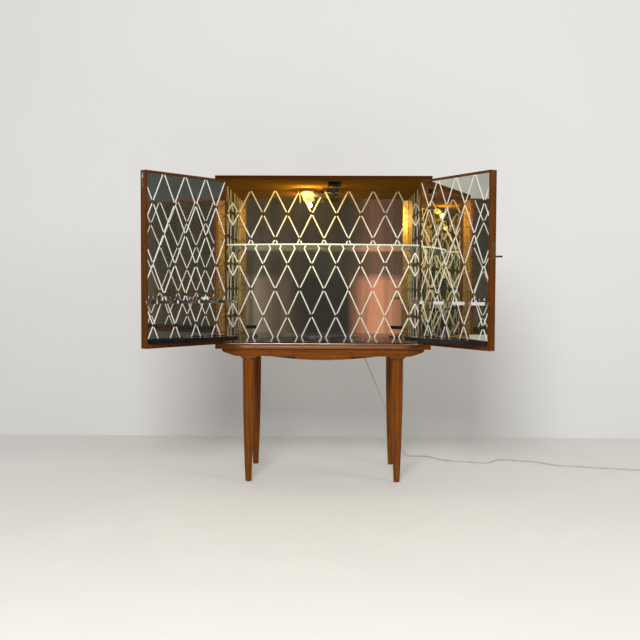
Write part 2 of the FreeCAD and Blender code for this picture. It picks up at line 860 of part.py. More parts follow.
def make_lock_bolt():
    """Bolt drawn back so far that its end is flush with the face plate."""
    outline = rectangle(facing(RIGHT, door_end - size.bolt_clearance - size.bolt_length,
                               door_end - size.bolt_clearance),
                        (door_middle - size.bolt_thickness / 2, door_middle + size.bolt_thickness / 2))
    bolt = pad("lock_bolt", "XY_Plane", outline, bolt_level - size.bolt_height / 2,
               bolt_level + size.bolt_height / 2)
    return register(on_door(bolt, RIGHT), "lock_bolt")


def make_key():
    """Key with a round bow, a shaft into the lock and a bit that points down."""
    bow_centre = outer_face - size.key_stand_off + size.key_bow_radius
    shaft_start = bow_centre + (size.key_bow_radius + size.key_bow_hole) / 2
    bit_rear = door_middle + size.key_bit_width / 2
    low = key_level - size.key_bow_thickness / 2
    middle = (-key_along, bow_centre, low)
    bow = cylinder("key_bow", middle, size.key_bow_radius, size.key_bow_thickness, Z_AXIS)
    eye = cylinder("key_eye", middle, size.key_bow_hole, size.key_bow_thickness, Z_AXIS)
    shaft = cylinder("key_shaft", (-key_along, shaft_start, key_level), size.key_shaft_radius,
                     bit_rear - shaft_start, Vector(0, 1, 0))
    bit = box("key_bit", (-key_along - size.key_bit_thickness / 2, size.key_bit_thickness / 2 - key_along),
              (bit_rear - size.key_bit_width, bit_rear), (key_level - size.key_bit_length, key_level))
    return register(on_door(fuse("key", cut("key_ring", bow, eye), shaft, bit), RIGHT), "key")


def make_key_escutcheon():
    disc = cylinder("escutcheon_disc", (-key_along, outer_face - size.plate_thickness, key_level),
                    size.escutcheon_radius, size.plate_thickness, Vector(0, 1, 0))
    return register(on_door(cut("key_escutcheon", disc, key_hole("escutcheon_hole")), RIGHT), "key_escutcheon")


def lock_mortise():
    """Pocket in the right door for the lock, its face plate and the key."""
    pocket = box("lock_pocket", facing(RIGHT, lock_near, lock_far), lock_across, lock_up)
    recess = box("lock_plate_recess", facing(RIGHT, lock_far, door_end), plate_across, lock_up)
    return [pocket, recess, key_hole("door_key_hole")]


def make_flush_bolt():
    """Flush bolt in the free edge of the left door: a face plate and a rod with a thumb piece."""
    rod_high = door_high - size.bolt_clearance
    rod_low = rod_high - size.flush_rod_length
    thumb_low = (rod_low + rod_high) / 2
    thumb_high = thumb_low + size.flush_thumb_height
    thumb_across = (door_middle - size.flush_thumb_width / 2, door_middle + size.flush_thumb_width / 2)
    plate_up = (door_high - size.flush_plate_height, door_high)
    plate = box("flush_plate_blank", (door_end - size.plate_thickness, door_end), plate_across, plate_up)
    slot = box("flush_plate_slot", (door_end - size.plate_thickness, door_end),
               (thumb_across[0] - size.bolt_clearance, thumb_across[1] + size.bolt_clearance),
               (thumb_low - size.bolt_clearance, thumb_high + size.flush_throw + size.bolt_clearance))
    rod_across = (door_middle - rod_half, door_middle + rod_half)
    rod = box("flush_rod", (rod_near, rod_far), rod_across, (rod_low, rod_high))
    thumb = box("flush_thumb", (rod_far, door_end + size.bolt_clearance), thumb_across,
                (thumb_low, thumb_high))
    register(on_door(cut("flush_bolt_plate", plate, slot), LEFT), "flush_bolt_plate")
    register(on_door(fuse("flush_bolt_slide", rod, thumb), LEFT), "flush_bolt_slide")


def flush_mortise():
    """Channel and recess in the left door for the flush bolt, and the socket for the lock's bolt."""
    channel = box("flush_channel", (rod_near - size.bolt_clearance, door_end - size.plate_thickness),
                  (door_middle - rod_half - size.bolt_clearance, door_middle + rod_half + size.bolt_clearance),
                  (door_high - size.flush_plate_height, door_high))
    recess = box("flush_plate_recess", (door_end - size.plate_thickness, door_end), plate_across,
                 (door_high - size.flush_plate_height, door_high))
    strike = box("strike_socket", (door_end - size.strike_depth, door_end),
                 (door_middle - size.bolt_thickness / 2 - size.bolt_clearance * 2,
                  door_middle + size.bolt_thickness / 2 + size.bolt_clearance * 2),
                 (bolt_level - size.bolt_height / 2 - size.bolt_clearance * 2,
                  bolt_level + size.bolt_height / 2 + size.bolt_clearance * 2))
    return [channel, recess, strike]


# Ceiling pieces

def catch_span():
    start = size.floor_setback - size.catch_gap
    return (front + start, front + start + size.catch_depth)


def make_catch_block():
    block = box("catch_blank", (size.catch_place, size.catch_place + size.catch_width), catch_span(),
                (ceiling - size.catch_height, ceiling))
    return register(cut("door_catch_block", block, ceiling_holes), "door_catch_block")


def make_lamp_bracket():
    """Plate on the ceiling with a stem down to the lamp socket."""
    middle = size.socket_end - size.socket_length / 2
    half = size.bracket_length / 2
    across = front + lamp_setback
    plate = box("bracket_plate", (middle - half, middle + half),
                (across - size.bracket_width / 2, across + size.bracket_width / 2),
                (ceiling - size.bracket_thickness, ceiling))
    stem = box("bracket_stem", (middle - size.bulb_neck_radius / 2, middle + size.bulb_neck_radius / 2),
               (across - size.bracket_thickness, across + size.bracket_thickness), (lamp_level, ceiling))
    joined = fuse("lamp_bracket", plate, stem)
    return register(cut("lamp_bracket", joined, socket_bar("bracket_saddle", size.socket_radius), ceiling_holes),
                    "lamp_bracket")


def socket_bar(name, radius, length=None):
    """Round bar along the lamp's axis, from the mouth of the socket."""
    return cylinder(name, (size.socket_end - size.socket_length, front + lamp_setback, lamp_level),
                    radius, length or size.socket_length, Vector(1, 0, 0))


def make_lamp_socket():
    bar = socket_bar("socket_bar", size.socket_radius)
    mouth = socket_bar("socket_mouth", size.bulb_neck_radius, size.socket_length / 2)
    return register(cut("lamp_socket", bar, mouth), "lamp_socket")


def make_lamp_bulb():
    """Bulb with a round glass and a neck that fills the mouth of the socket."""
    length = float(size.bulb_length)
    radius = float(size.bulb_radius)
    neck = float(size.bulb_neck_radius - size.pin_clearance)
    seat = float(size.socket_length) / 2 - float(size.fit_gap)
    shoulder = [Vector(-length * along, radius * out, 0) for along, out in BULB_SHARES]
    start = Vector(0, neck, 0)
    edges = [Part.Arc(Vector(-length, 0, 0), shoulder[0], shoulder[1]).toShape(),
             Part.Arc(shoulder[1], shoulder[2], start).toShape(),
             Part.LineSegment(start, Vector(seat, neck, 0)).toShape(),
             Part.LineSegment(Vector(seat, neck, 0), Vector(seat, 0, 0)).toShape(),
             Part.LineSegment(Vector(seat, 0, 0), Vector(-length, 0, 0)).toShape()]
    solid = Part.Face(Part.Wire(edges)).revolve(Vector(), Vector(1, 0, 0), 360)
    bulb = feature("lamp_bulb", solid)
    set_place(bulb, (size.socket_end - size.socket_length, front + lamp_setback, lamp_level))
    return register(bulb, "lamp_bulb")


def rocker_frame():
    """Middle of the rocker along the case and across it, and the level of its pivot."""
    return (size.switch_place + size.switch_length / 2, front + lamp_setback + size.switch_width / 3,
            ceiling - size.switch_height + size.rocker_height / 2 - size.rocker_proud)


def make_switch_box():
    """Small switch box on the ceiling with a pocket and bearings for its rocker."""
    along, across, level = rocker_frame()
    low = ceiling - size.switch_height
    start = across - size.switch_width / 2
    shell = box("switch_shell", (size.switch_place, size.switch_place + size.switch_length),
                (start, start + size.switch_width), (low, ceiling))
    half = size.rocker_length / 2 + size.rocker_gap
    side = size.rocker_width / 2 + size.fit_gap
    pocket = box("rocker_pocket", (along - half, along + half), (across - side, across + side),
                 (low, level + half))
    bearing = cylinder("rocker_bearing", (along, across - side - size.pin_radius, level),
                       size.pin_radius + size.pin_clearance, (side + size.pin_radius) * 2, Vector(0, 1, 0))
    return register(cut("switch_box", shell, pocket, bearing), "switch_box")


def make_switch_rocker():
    """Rocker with a pivot at each side."""
    along, across, level = rocker_frame()
    key = box("rocker_key", (along - size.rocker_length / 2, along + size.rocker_length / 2),
              (across - size.rocker_width / 2, across + size.rocker_width / 2),
              (level - size.rocker_height / 2, level + size.rocker_height / 2))
    reach = size.rocker_width / 2 + size.fit_gap + size.pin_radius - size.pin_clearance
    pivot = cylinder("rocker_pivot", (along, across - reach, level), size.pin_radius, reach * 2,
                     Vector(0, 1, 0))
    return register(fuse("switch_rocker", key, pivot), "switch_rocker")


def rounded_path(points, radii):
    """Wire of straight runs joined by arcs that touch both runs."""
    edges = []
    start = points[0]
    for before, corner, after, radius in zip(points, points[1:], points[2:], radii):
        incoming = (before - corner).normalize()
        outgoing = (after - corner).normalize()
        half = math.pi / 2 - incoming.getAngle(outgoing) / 2
        reach = radius * math.tan(half)
        first = corner + incoming * reach
        last = corner + outgoing * reach
        bisector = (incoming + outgoing).normalize()
        through = corner + bisector * (radius / math.cos(half) - radius)
        edges.append(Part.LineSegment(start, first).toShape())
        edges.append(Part.Arc(first, through, last).toShape())
        start = last
    edges.append(Part.LineSegment(start, points[-1]).toShape())
    return Part.Wire(edges)


def tube(path, radius):
    """Round bar along a path."""
    start = path.Edges[0].Vertexes[0].Point
    direction = path.Edges[0].Vertexes[1].Point - start
    ring = Part.Wire(Part.makeCircle(radius, start, direction))
    return path.makePipeShell([ring], True, False)


def make_inner_lead():
    """Lead from the lamp socket to the switch box, and on through the back."""
    along, across, level = rocker_frame()
    high = float(ceiling - size.lead_bend_radius / 2)
    radius = float(size.lead_radius)
    bend_radius = float(size.lead_bend_radius)
    rear = float(across + size.switch_width / 2)
    behind = float(front + interior_depth) - bend_radius - radius * 2
    hole = -float(size.grommet_place)
    exit_level = float(grommet_level)
    outside = float(front + back_rear + size.grommet_proud)
    points = [Vector(float(along), rear, high), Vector(float(along), behind, high), Vector(hole, behind, high),
              Vector(hole, behind, exit_level), Vector(hole, outside, exit_level)]
    long_lead = tube(rounded_path(points, [bend_radius] * 3), radius)
    link_level = float(ceiling - size.switch_height / 2)
    link_level = min(link_level, float(lamp_level + size.socket_radius - size.lead_radius * 1.5))
    link = Part.makeCylinder(radius, float(size.switch_place - size.socket_end),
                             Vector(float(size.socket_end), float(front + lamp_setback), link_level),
                             Vector(1, 0, 0))
    return register(feature("inner_lead", Part.makeCompound([link, long_lead])), "inner_lead")


def make_cord_grommet():
    """Bush in the back board, with a flange outside and a bore for the lead."""
    start = front + back_front
    body = cylinder("bush_body", (-size.grommet_place, start, grommet_level), size.grommet_radius,
                    size.back_thickness + size.grommet_proud, Vector(0, 1, 0))
    flange = cylinder("bush_flange", (-size.grommet_place, front + back_rear, grommet_level),
                      size.grommet_flange_radius, size.grommet_flange_thickness, Vector(0, 1, 0))
    bore = cylinder("bush_bore", (-size.grommet_place, start, grommet_level),
                    size.lead_radius + size.pin_clearance, size.back_thickness + size.grommet_proud,
                    Vector(0, 1, 0))
    return register(cut("cord_grommet", fuse("cord_grommet", body, flange), bore), "cord_grommet")


# Base

def bracket_outline(side, inner):
    """Front view of a leg bracket, from a place near the middle out to its wing."""
    tip = size.case_width / 2 - size.base_overhang
    return [point(inner * -side, case_underside), point(inner * -side, base_rail_low),
            point((leg_spread + size.cove_radius) * -side, base_rail_low),
            point((tip - size.wing_reach) * -side, case_underside - size.wing_drop),
            bend((tip - size.wing_reach * WING_SHARES[0]) * -side,
                 case_underside - size.wing_drop * WING_SHARES[1]),
            point(tip * -side, case_underside - size.wing_tip_drop),
            point(tip * -side, case_underside)]


def leg_boss(name, side, near):
    """Boss that flows from a rail down to the round top of a leg."""
    height = size.cove_height * 2
    outline = [point(0, size.leg_height), point(size.leg_top_radius, size.leg_height),
               bend(size.leg_top_radius + (size.cove_radius - size.leg_top_radius) * COVE_SHARES[0],
                    size.leg_height + size.cove_height * COVE_SHARES[1]),
               point(size.cove_radius, size.leg_height + size.cove_height),
               point(size.cove_radius, size.leg_height + height), point(0, size.leg_height + height)]
    flare = turned(name + "_flare", outline, (leg_spread * -side, near + size.base_depth / 2, measured(0)))
    clip = box(name + "_clip", ((leg_spread * -side) - size.cove_radius,
                                (leg_spread * -side) + size.cove_radius),
               (near, near + size.base_depth), (size.leg_height, case_underside))
    boss = document.addObject("Part::Common", name + "_boss")
    boss.Base = flare
    boss.Tool = clip
    return boss


def tenon_hole(name, side, across):
    return cylinder(name, (leg_spread * -side, across, size.leg_height),
                    size.tenon_radius + size.tenon_clearance, size.tenon_length + size.fit_gap, Z_AXIS)


def make_front_bracket(side, word):
    near = front + size.base_setback
    name = word + "_front_bracket"
    slab = pad(name + "_slab", "XZ_Plane", bracket_outline(side, base_seam), near, near + size.base_depth)
    joined = fuse(name, slab, leg_boss(name, side, near))
    hole = tenon_hole(name + "_mortise", side, near + size.base_depth / 2)
    return register(cut(name, joined, hole), name)


def make_rear_rail():
    """Rail across the back with a leg bracket at each end."""
    near = front + rear_base_front
    pieces = []
    holes = []
    for side, word in ((LEFT, "left"), (RIGHT, "right")):
        name = "rear_%s" % word
        pieces.append(pad(name + "_slab", "XZ_Plane", bracket_outline(side, measured(0)), near,
                          near + size.base_depth))
        pieces.append(leg_boss(name, side, near))
        holes.append(tenon_hole(name + "_mortise", side, near + size.base_depth / 2))
    return register(cut("rear_rail", fuse("rear_rail", *pieces), *holes), "rear_rail")


def make_side_rail(side, word):
    """Rail between the front bracket and the rear rail."""
    centre = leg_spread * -side
    half = size.side_rail_thickness / 2
    near = front + size.base_setback + size.base_depth
    outline = rectangle((centre - half, centre + half), (near, front + rear_base_front))
    return register(pad(word + "_side_rail", "XY_Plane", outline, case_underside - size.side_rail_height,
                        case_underside), word + "_side_rail")


def make_leg(side, word, row, setback):
    """Round tapered leg with a swelling, a small collar and a tenon."""
    collar = size.leg_height - size.collar_height
    neck = size.leg_top_radius - size.collar_step
    outline = [point(0, 0), point(size.leg_foot_radius - size.foot_round, 0),
               point(size.leg_foot_radius, size.foot_round), bend(size.leg_middle_radius, size.leg_height / 2),
               point(size.leg_top_radius, collar), point(neck, collar), point(neck, size.leg_height),
               point(size.tenon_radius, size.leg_height),
               point(size.tenon_radius, size.leg_height + size.tenon_length),
               point(0, size.leg_height + size.tenon_length)]
    name = "%s_%s_leg" % (row, word)
    return register(turned(name, outline, (leg_spread * -side, front + setback, measured(0))), name)


# Pull-out slide

def make_slide_front():
    """Front of the slide: a bellied lower edge, a finger grip and a bevel beside each end of the grip."""
    near = front + size.base_setback
    half = base_seam - size.slide_seam_gap
    high = case_underside - size.slide_top_gap
    belly = base_rail_low - size.slide_belly
    outline = [point(-half, high), point(-half, base_rail_low), bend(0, belly), point(half, base_rail_low),
               point(half, high)]
    board = pad("slide_front_board", "XZ_Plane", outline, near, near + size.slide_front_thickness)
    grip_top = case_underside - size.grip_top_drop
    below = belly - size.grip_depth
    grip = pad("finger_grip", "XZ_Plane",
               [point(-size.grip_half_width, below), point(size.grip_half_width, below),
                point(size.grip_half_width + size.grip_splay, grip_top - size.grip_depth),
                point(size.grip_half_width + size.grip_splay / 2, grip_top),
                point(-size.grip_half_width - size.grip_splay / 2, grip_top),
                point(-size.grip_half_width - size.grip_splay, grip_top - size.grip_depth)],
               near - size.grip_depth, near + size.grip_depth)
    bevels = feature("slide_bevels", Part.makeCompound([bevel_wedge(side, near) for side in (LEFT, RIGHT)]))
    return register(cut("slide_front", board, grip, bevels), "slide_front")


def bevel_wedge(side, near):
    """Sliver taken off the lower edge, from nothing at the seam to its full size at the grip."""
    start = float(base_seam) * side
    finish = float(size.grip_half_width) * side
    face = float(near)
    low = float(base_rail_low)
    belly = float(base_rail_low - size.slide_belly)
    bevel = float(size.leaf_bevel)
    corners = [Vector(start, face, low), Vector(finish, face, belly + bevel * 1.5),
               Vector(finish, face + bevel, belly), Vector(finish, face - bevel, belly - bevel)]
    faces = [Part.Face(Part.makePolygon([corners[a], corners[b], corners[c], corners[a]]))
             for a, b, c in ((0, 1, 2), (0, 2, 3), (0, 3, 1), (1, 3, 2))]
    return Part.makeSolid(Part.Shell(faces))


def board_levels():
    high = case_underside - size.board_drop
    return high - size.board_thickness, high


def make_slide_board():
    """Board behind the slide's front, with a cleat at its far end that meets the stops."""
    near = front + size.base_setback + size.slide_front_thickness
    low, high = board_levels()
    far = front + rear_base_front - size.board_rear_gap
    board = box("slide_board_blank", (-board_half, board_half), (near, far), (low, high))
    cleat = box("slide_cleat", (-stop_place - size.stop_width, stop_place + size.stop_width),
                (far - size.stop_thickness, far), (high, case_underside - size.stop_gap))
    return register(fuse("slide_board", board, cleat), "slide_board")


def slide_runner(side, word):
    """Batten with a lip that carries one edge of the board."""
    near = front + size.base_setback + size.base_depth
    low, high = board_levels()
    inner = board_half + size.runner_gap
    outer = inner + size.runner_thickness
    lip_top = low - size.fit_gap
    across = (near, front + rear_base_front)
    low_edge = lip_top - size.runner_lip_thickness
    batten = box(word + "_runner_batten", facing(-side, inner, outer), across, (low_edge, case_underside))
    lip = box(word + "_runner_lip", facing(-side, inner - size.runner_lip, inner), across, (low_edge, lip_top))
    return fuse(word + "_slide_runner", batten, lip)


def make_slide_stops():
    """Two blocks under the case that hold the cleat back when the slide is out."""
    near = front + size.base_setback + size.base_depth
    low, high = board_levels()
    blocks = []
    for side, word in ((LEFT, "left"), (RIGHT, "right")):
        blocks.append(box(word + "_stop", facing(-side, stop_place, stop_place + size.stop_width),
                          (near + size.stop_gap, near + size.stop_gap + size.stop_thickness),
                          (high + size.stop_gap, case_underside)))
    return register(compound("slide_stops", *blocks), "slide_stops")


# Power cord

def cord_points():
    """The route from the bush to the plug, in the part's frame."""
    start = Vector(-float(size.grommet_place), float(back_rear + size.grommet_proud), float(grommet_level))
    points = [start] + [Vector(*place) for place in CORD_ROUTE]
    return [place + Vector(0, float(front), 0) for place in points]


def make_power_cord():
    """Free cord as straight runs joined by tangent arcs."""
    points = cord_points()
    radii = []
    for before, corner, after in zip(points, points[1:], points[2:]):
        incoming = corner - before
        outgoing = after - corner
        shorter = min(incoming.Length, outgoing.Length)
        radii.append(CORD_ARC_SHARE * shorter / math.tan(incoming.getAngle(outgoing) / 2))
    path = rounded_path(points, radii)
    solid = tube(path, float(size.cord_radius))
    section = math.pi * float(size.cord_radius) ** 2
    print("cord radii", " ".join("%.0f" % radius for radius in radii))
    print("cord length %.0f, volume %.0f, section times length %.0f"
          % (path.Length, solid.Volume, section * path.Length))
    return register(feature("power_cord", solid), "power_cord")


def make_mains_plug():
    """Two-pin plug at the end of the cord, lying on the floor."""
    points = cord_points()
    run = points[-1] - points[-2]
    length = float(size.plug_length)
    width = float(size.plug_width)
    height = float(size.plug_height)
    body = Part.makeBox(length, width, height, Vector(0, -width / 2, -height / 2))
    body = body.makeFillet(float(size.edge_round) * 2, body.Edges)
    pins = [Part.makeCylinder(float(size.plug_pin_radius), float(size.plug_pin_length),
                              Vector(length, place, 0), Vector(1, 0, 0))
            for place in (-float(size.plug_pin_spacing) / 2, float(size.plug_pin_spacing) / 2)]
    plug = feature("mains_plug", body.multiFuse(pins).removeSplitter())
    plug.Placement = FreeCAD.Placement(points[-1], FreeCAD.Rotation(Vector(1, 0, 0), run))
    return register(plug, "mains_plug")


# Places shared by the lock, the key and the bolts
door_middle = outer_face + size.door_panel_thickness / 2
rod_far = door_end - size.plate_thickness - size.bolt_clearance
rod_near = rod_far - size.flush_rod_side
rod_half = size.flush_rod_side / 2
plate_across = (door_middle - size.plate_width / 2, door_middle + size.plate_width / 2)
lock_far = door_end - size.plate_thickness
lock_near = lock_far - size.lock_length
lock_across = (door_middle - size.lock_thickness / 2, door_middle + size.lock_thickness / 2)
lock_up = (lock_level - size.lock_height / 2, lock_level + size.lock_height / 2)
key_along = door_end - size.key_inset
lamp_level = ceiling - size.lamp_drop
SIDES = ((LEFT, "left"), (RIGHT, "right"))


def to_case(head, side):
    """Move a place measured from a hinge axis into the part's frame."""
    return head + Vector(-side * float(hinge_place), float(front - size.hinge_proud), 0)


# Screws
case_leaf_holes = {}
door_leaf_holes = {}
door_leaf_screws = {}
rail_holes = {}
rail_screws = {}
case_screw_shapes = []
case_hole_shapes = []
for side, word in SIDES:
    outwards = Vector(-side, 0, 0)
    heads = hinge_screw_heads(side, "case")
    case_leaf_holes[side] = screws(word + "_case_leaf", heads, outwards)[1]
    moved = [to_case(head, side) for head in heads]
    case_screw_shapes += [screw_shape(head, outwards, size.screw_length) for head in moved]
    case_hole_shapes += [screw_shape(head, outwards, size.screw_length, size.screw_clearance)
                         for head in moved]
    door_leaf_screws[side], door_leaf_holes[side] = screws(
        word + "_door_leaf_screws", hinge_screw_heads(side, "door"), Vector(side, 0, 0))
    rail_screws[side], rail_holes[side] = screws(
        word + "_rail_screws", rail_screw_heads(side), Vector(0, -1, 0), size.bead_screw_length)
    door_screws = compound(word + "_door_screws", door_leaf_screws[side], rail_screws[side])
    register(on_door(door_screws, side), word + "_door_screws")
case_hinge_holes = feature("case_hinge_holes", Part.makeCompound(case_hole_shapes))
case_leaf_screws = feature("case_leaf_screws", Part.makeCompound(case_screw_shapes))

back_edge = float(opening_half + size.back_rebate / 2)
back_heads = [Vector(-side * back_edge, float(front + back_rear), level)
              for side, word in SIDES for level in between(floor_base, ceiling, BACK_SCREWS)]
back_screws, back_holes = screws("back_panel_screws", back_heads, Vector(0, -1, 0))

catch_middle = sum(map(float, catch_span())) / 2
lamp_middle = float(size.socket_end - size.socket_length / 2)
catch_heads = [Vector(float(size.catch_place + size.catch_width * share), catch_middle,
                      float(ceiling - size.catch_height)) for share in CATCH_SCREW_SHARES]
bracket_heads = [Vector(lamp_middle + float(size.bracket_length) * share, float(front + lamp_setback),
                        float(ceiling - size.bracket_thickness)) for share in BRACKET_SCREW_SHARES]
catch_screw_length = float(size.catch_height + size.top_thickness / 2)
ceiling_screws = []
ceiling_tools = []
for heads, length in ((catch_heads, catch_screw_length), (bracket_heads, float(size.bead_screw_length))):
    ceiling_screws += [screw_shape(head, Z_AXIS, length) for head in heads]
    ceiling_tools += [screw_shape(head, Z_AXIS, length, size.screw_clearance) for head in heads]
ceiling_holes = feature("ceiling_holes", Part.makeCompound(ceiling_tools))
ceiling_group = feature("ceiling_screws", Part.makeCompound(ceiling_screws))
register(compound("case_screws", case_leaf_screws, back_screws, ceiling_group), "case_screws")

# Case and what it carries
make_top_panel()
make_bottom_panel()
make_back_panel()
make_inner_floor()
make_back_mirror()
make_glass_shelf()
make_shelf_supports()
make_catch_block()
make_lamp_bracket()
make_lamp_socket()
make_lamp_bulb()
make_switch_box()
make_switch_rocker()
make_inner_lead()
make_cord_grommet()

# Both sides and both doors
make_hinge_pins()
for side, word in SIDES:
    make_side_panel(side, word)
    make_side_mirror(side, word)
    make_hinge_leaf(side, word, "case")
    make_hinge_leaf(side, word, "door")
    pockets = flush_mortise() if side == LEFT else lock_mortise()
    make_door_panel(side, word, door_leaf_holes[side], rail_holes[side], *pockets)
    make_door_bead(side, word, rail_holes[side])
    make_door_mirror(side, word)
    make_door_tray(side, word)
    make_bottle_rail(side, word)
make_flush_bolt()
make_lock_case()
make_lock_face_plate()
make_lock_bolt()
make_key()
make_key_escutcheon()

# Base, legs and slide
for side, word in SIDES:
    make_front_bracket(side, word)
    make_side_rail(side, word)
    make_leg(side, word, "front", leg_setback)
    make_leg(side, word, "rear", rear_leg_setback)
slide_runners = compound("slide_runners", *[slide_runner(side, word) for side, word in SIDES])
register(slide_runners, "slide_runners")
make_rear_rail()
make_slide_front()
make_slide_board()
make_slide_stops()

make_power_cord()
make_mains_plug()
document.recompute()

# Checks before anything is written
for item in document.Objects:
    if "Invalid" in item.State or "Error" in item.State:
        raise RuntimeError("%s did not rebuild: %s" % (item.Name, item.State))
for item in sub_parts:
    if item.Shape.isNull() or not item.Shape.isValid() or not item.Shape.Solids:
        raise RuntimeError("%s has no sound shape" % item.Label)
    if any(solid.Volume <= 0 for solid in item.Shape.Solids):
        raise RuntimeError("%s holds an empty solid" % item.Label)

os.makedirs("parts", exist_ok=True)
for item in sub_parts:
    item.Shape.exportStep(os.path.join("parts", item.Label + ".step"))
print("wrote", len(sub_parts), "sub-parts; front plane at %.2f" % float(front))
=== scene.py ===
import json
import math
import random

import bmesh
import bpy
from bpy.props import FloatProperty, FloatVectorProperty, PointerProperty
from bpy.types import Operator, Panel, PropertyGroup
from mathutils import Matrix, Vector


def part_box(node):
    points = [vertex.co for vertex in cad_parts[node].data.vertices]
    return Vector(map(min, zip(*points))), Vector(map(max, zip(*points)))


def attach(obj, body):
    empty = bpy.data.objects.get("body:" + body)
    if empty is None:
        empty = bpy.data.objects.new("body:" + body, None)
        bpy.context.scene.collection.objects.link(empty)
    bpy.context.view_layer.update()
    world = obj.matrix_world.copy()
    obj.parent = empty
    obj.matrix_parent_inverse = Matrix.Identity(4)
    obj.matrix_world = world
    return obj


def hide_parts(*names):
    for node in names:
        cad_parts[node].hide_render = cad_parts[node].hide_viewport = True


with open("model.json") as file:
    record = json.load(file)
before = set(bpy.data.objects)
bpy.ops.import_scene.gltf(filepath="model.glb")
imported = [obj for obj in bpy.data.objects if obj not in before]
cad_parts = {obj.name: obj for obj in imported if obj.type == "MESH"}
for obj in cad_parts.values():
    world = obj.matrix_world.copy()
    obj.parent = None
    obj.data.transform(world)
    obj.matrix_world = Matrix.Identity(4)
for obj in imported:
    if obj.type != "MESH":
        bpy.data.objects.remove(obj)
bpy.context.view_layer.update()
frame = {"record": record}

bl_info = {
    "name": "Bar Cabinet",
    "version": (1, 0, 0),
    "blender": (4, 5, 0),
    "location": "View3D > Sidebar > Cabinet",
    "description": "Finishes for a mirrored bar cabinet: oiled wood, lattice, glass shelf, lamp and cord",
    "category": "Object",
}

# The front plane of the case, and the hinge axes of the doors
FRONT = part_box("bottom_panel")[0].y
JOINTS = {joint["name"]: joint for joint in frame["record"]["behaviour"]["joints"]}
DOORS = {"left": (1, JOINTS["left_door_hinge"]), "right": (-1, JOINTS["right_door_hinge"])}


# Settings

class CameraSettings(PropertyGroup):
    """Where the camera stands and how it is turned"""
    position: FloatVectorProperty(
        name="Position", description="Camera position, with Y measured from the front of the case",
        default=(0.0269, -3.4049, 0.7858), subtype="TRANSLATION", unit="LENGTH")
    pitch: FloatProperty(name="Pitch", description="Downward tilt", default=0.0412, unit="ROTATION")
    yaw: FloatProperty(name="Yaw", description="Turn to the right", default=-0.0114, unit="ROTATION")
    roll: FloatProperty(name="Roll", description="Tilt about the line of sight", default=0.0042,
                        unit="ROTATION")
    focal_length: FloatProperty(name="Focal length", description="Lens on a 36 mm sensor, in millimetres",
                                default=48.76, min=1.0)


class WoodSettings(PropertyGroup):
    """Colours and grain of the oiled wood"""
    light: FloatVectorProperty(name="Light wood", description="Colour of the wood between its dark lines",
                               default=(0.262, 0.078, 0.004), subtype="COLOR", min=0.0, max=1.0)
    dark: FloatVectorProperty(name="Dark wood", description="Colour of the dark lines in the wood",
                              default=(0.095, 0.020, 0.001), subtype="COLOR", min=0.0, max=1.0)
    pore_depth: FloatProperty(name="Pore depth", description="Height of the grain in the bump",
                              default=0.00012, min=0.0, unit="LENGTH")


class LatticeSettings(PropertyGroup):
    """The ground lattice on the mirrors"""
    pitch: FloatProperty(name="Case pitch", description="Distance between crossings in a row, in the case",
                         default=0.106, min=0.02, unit="LENGTH")
    door_pitch: FloatProperty(name="Door pitch", description="Distance between crossings in a row, on a door",
                              default=0.102, min=0.02, unit="LENGTH")
    stroke_width: FloatProperty(name="Stroke width", description="Width of a ground stroke in the case",
                                default=0.0051, min=0.0005, unit="LENGTH")
    door_stroke_width: FloatProperty(name="Door stroke width",
                                     description="Width of a ground stroke on a door",
                                     default=0.0040, min=0.0005, unit="LENGTH")
    stroke_depth: FloatProperty(name="Stroke depth", description="Thickness of a stroke on the mirror",
                                default=0.0004, min=0.0001, unit="LENGTH")
    crossing_gap: FloatProperty(name="Crossing gap",
                                description="Height left open above and below a crossing",
                                default=0.010, min=0.0, unit="LENGTH")
    overshoot: FloatProperty(name="Overshoot",
                             description="How far a hand-ground stroke may run past its end",
                             default=0.009, min=0.0, unit="LENGTH")


class LampSettings(PropertyGroup):
    """The lamp inside the case"""
    glow: FloatVectorProperty(name="Glow", description="Colour of the lit bulb",
                              default=(1.0, 0.66, 0.13), subtype="COLOR", min=0.0, max=1.0)
    strength: FloatProperty(name="Strength", description="How bright the lit bulb is", default=34.0, min=0.0)


class CordSettings(PropertyGroup):
    """The power cord"""
    diameter: FloatProperty(name="Diameter", description="Thickness of the cord", default=0.005, min=0.001,
                            unit="LENGTH")
    length: FloatProperty(name="Length", description="Length of the cord from the case to its plug",
                          default=2.42, min=0.1, unit="LENGTH")


SETTINGS = {
    "cabinet_camera": CameraSettings,
    "cabinet_wood": WoodSettings,
    "cabinet_lattice": LatticeSettings,
    "cabinet_lamp": LampSettings,
    "cabinet_cord": CordSettings,
}


# Meshes

def door_point(word, along, deep, level):
    """A place on an open door: along it from the hinge axis, deep towards its inside, and its level."""
    side, joint = DOORS[word]
    angle = math.radians(joint["range_deg"][0])
    place = Vector((along * side, deep, 0.0))
    turned = Matrix.Rotation(angle * side, 3, "Z") @ place
    axis = Vector(joint["pos_m"])
    return Vector((axis.x + turned.x, axis.y + turned.y, level))


def new_object(name, mesh, body, material_slot, *materials):
    """Put a mesh in the scene, riding on a body and taking the given finishes; material_slot is not used."""
    piece = bpy.data.objects.new(name, mesh)
    bpy.context.scene.collection.objects.link(piece)
    for material in materials:
        mesh.materials.append(material)
    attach(piece, body)
    return piece


def settled(carrier, name):
    """Turn what an object's modifiers make into a plain mesh."""
    graph = bpy.context.evaluated_depsgraph_get()
    graph.update()
    mesh = bpy.data.meshes.new_from_object(carrier.evaluated_get(graph), depsgraph=graph)
    mesh.name = name
    carrier.modifiers.clear()
    bpy.data.objects.remove(carrier, do_unlink=True)
    return mesh


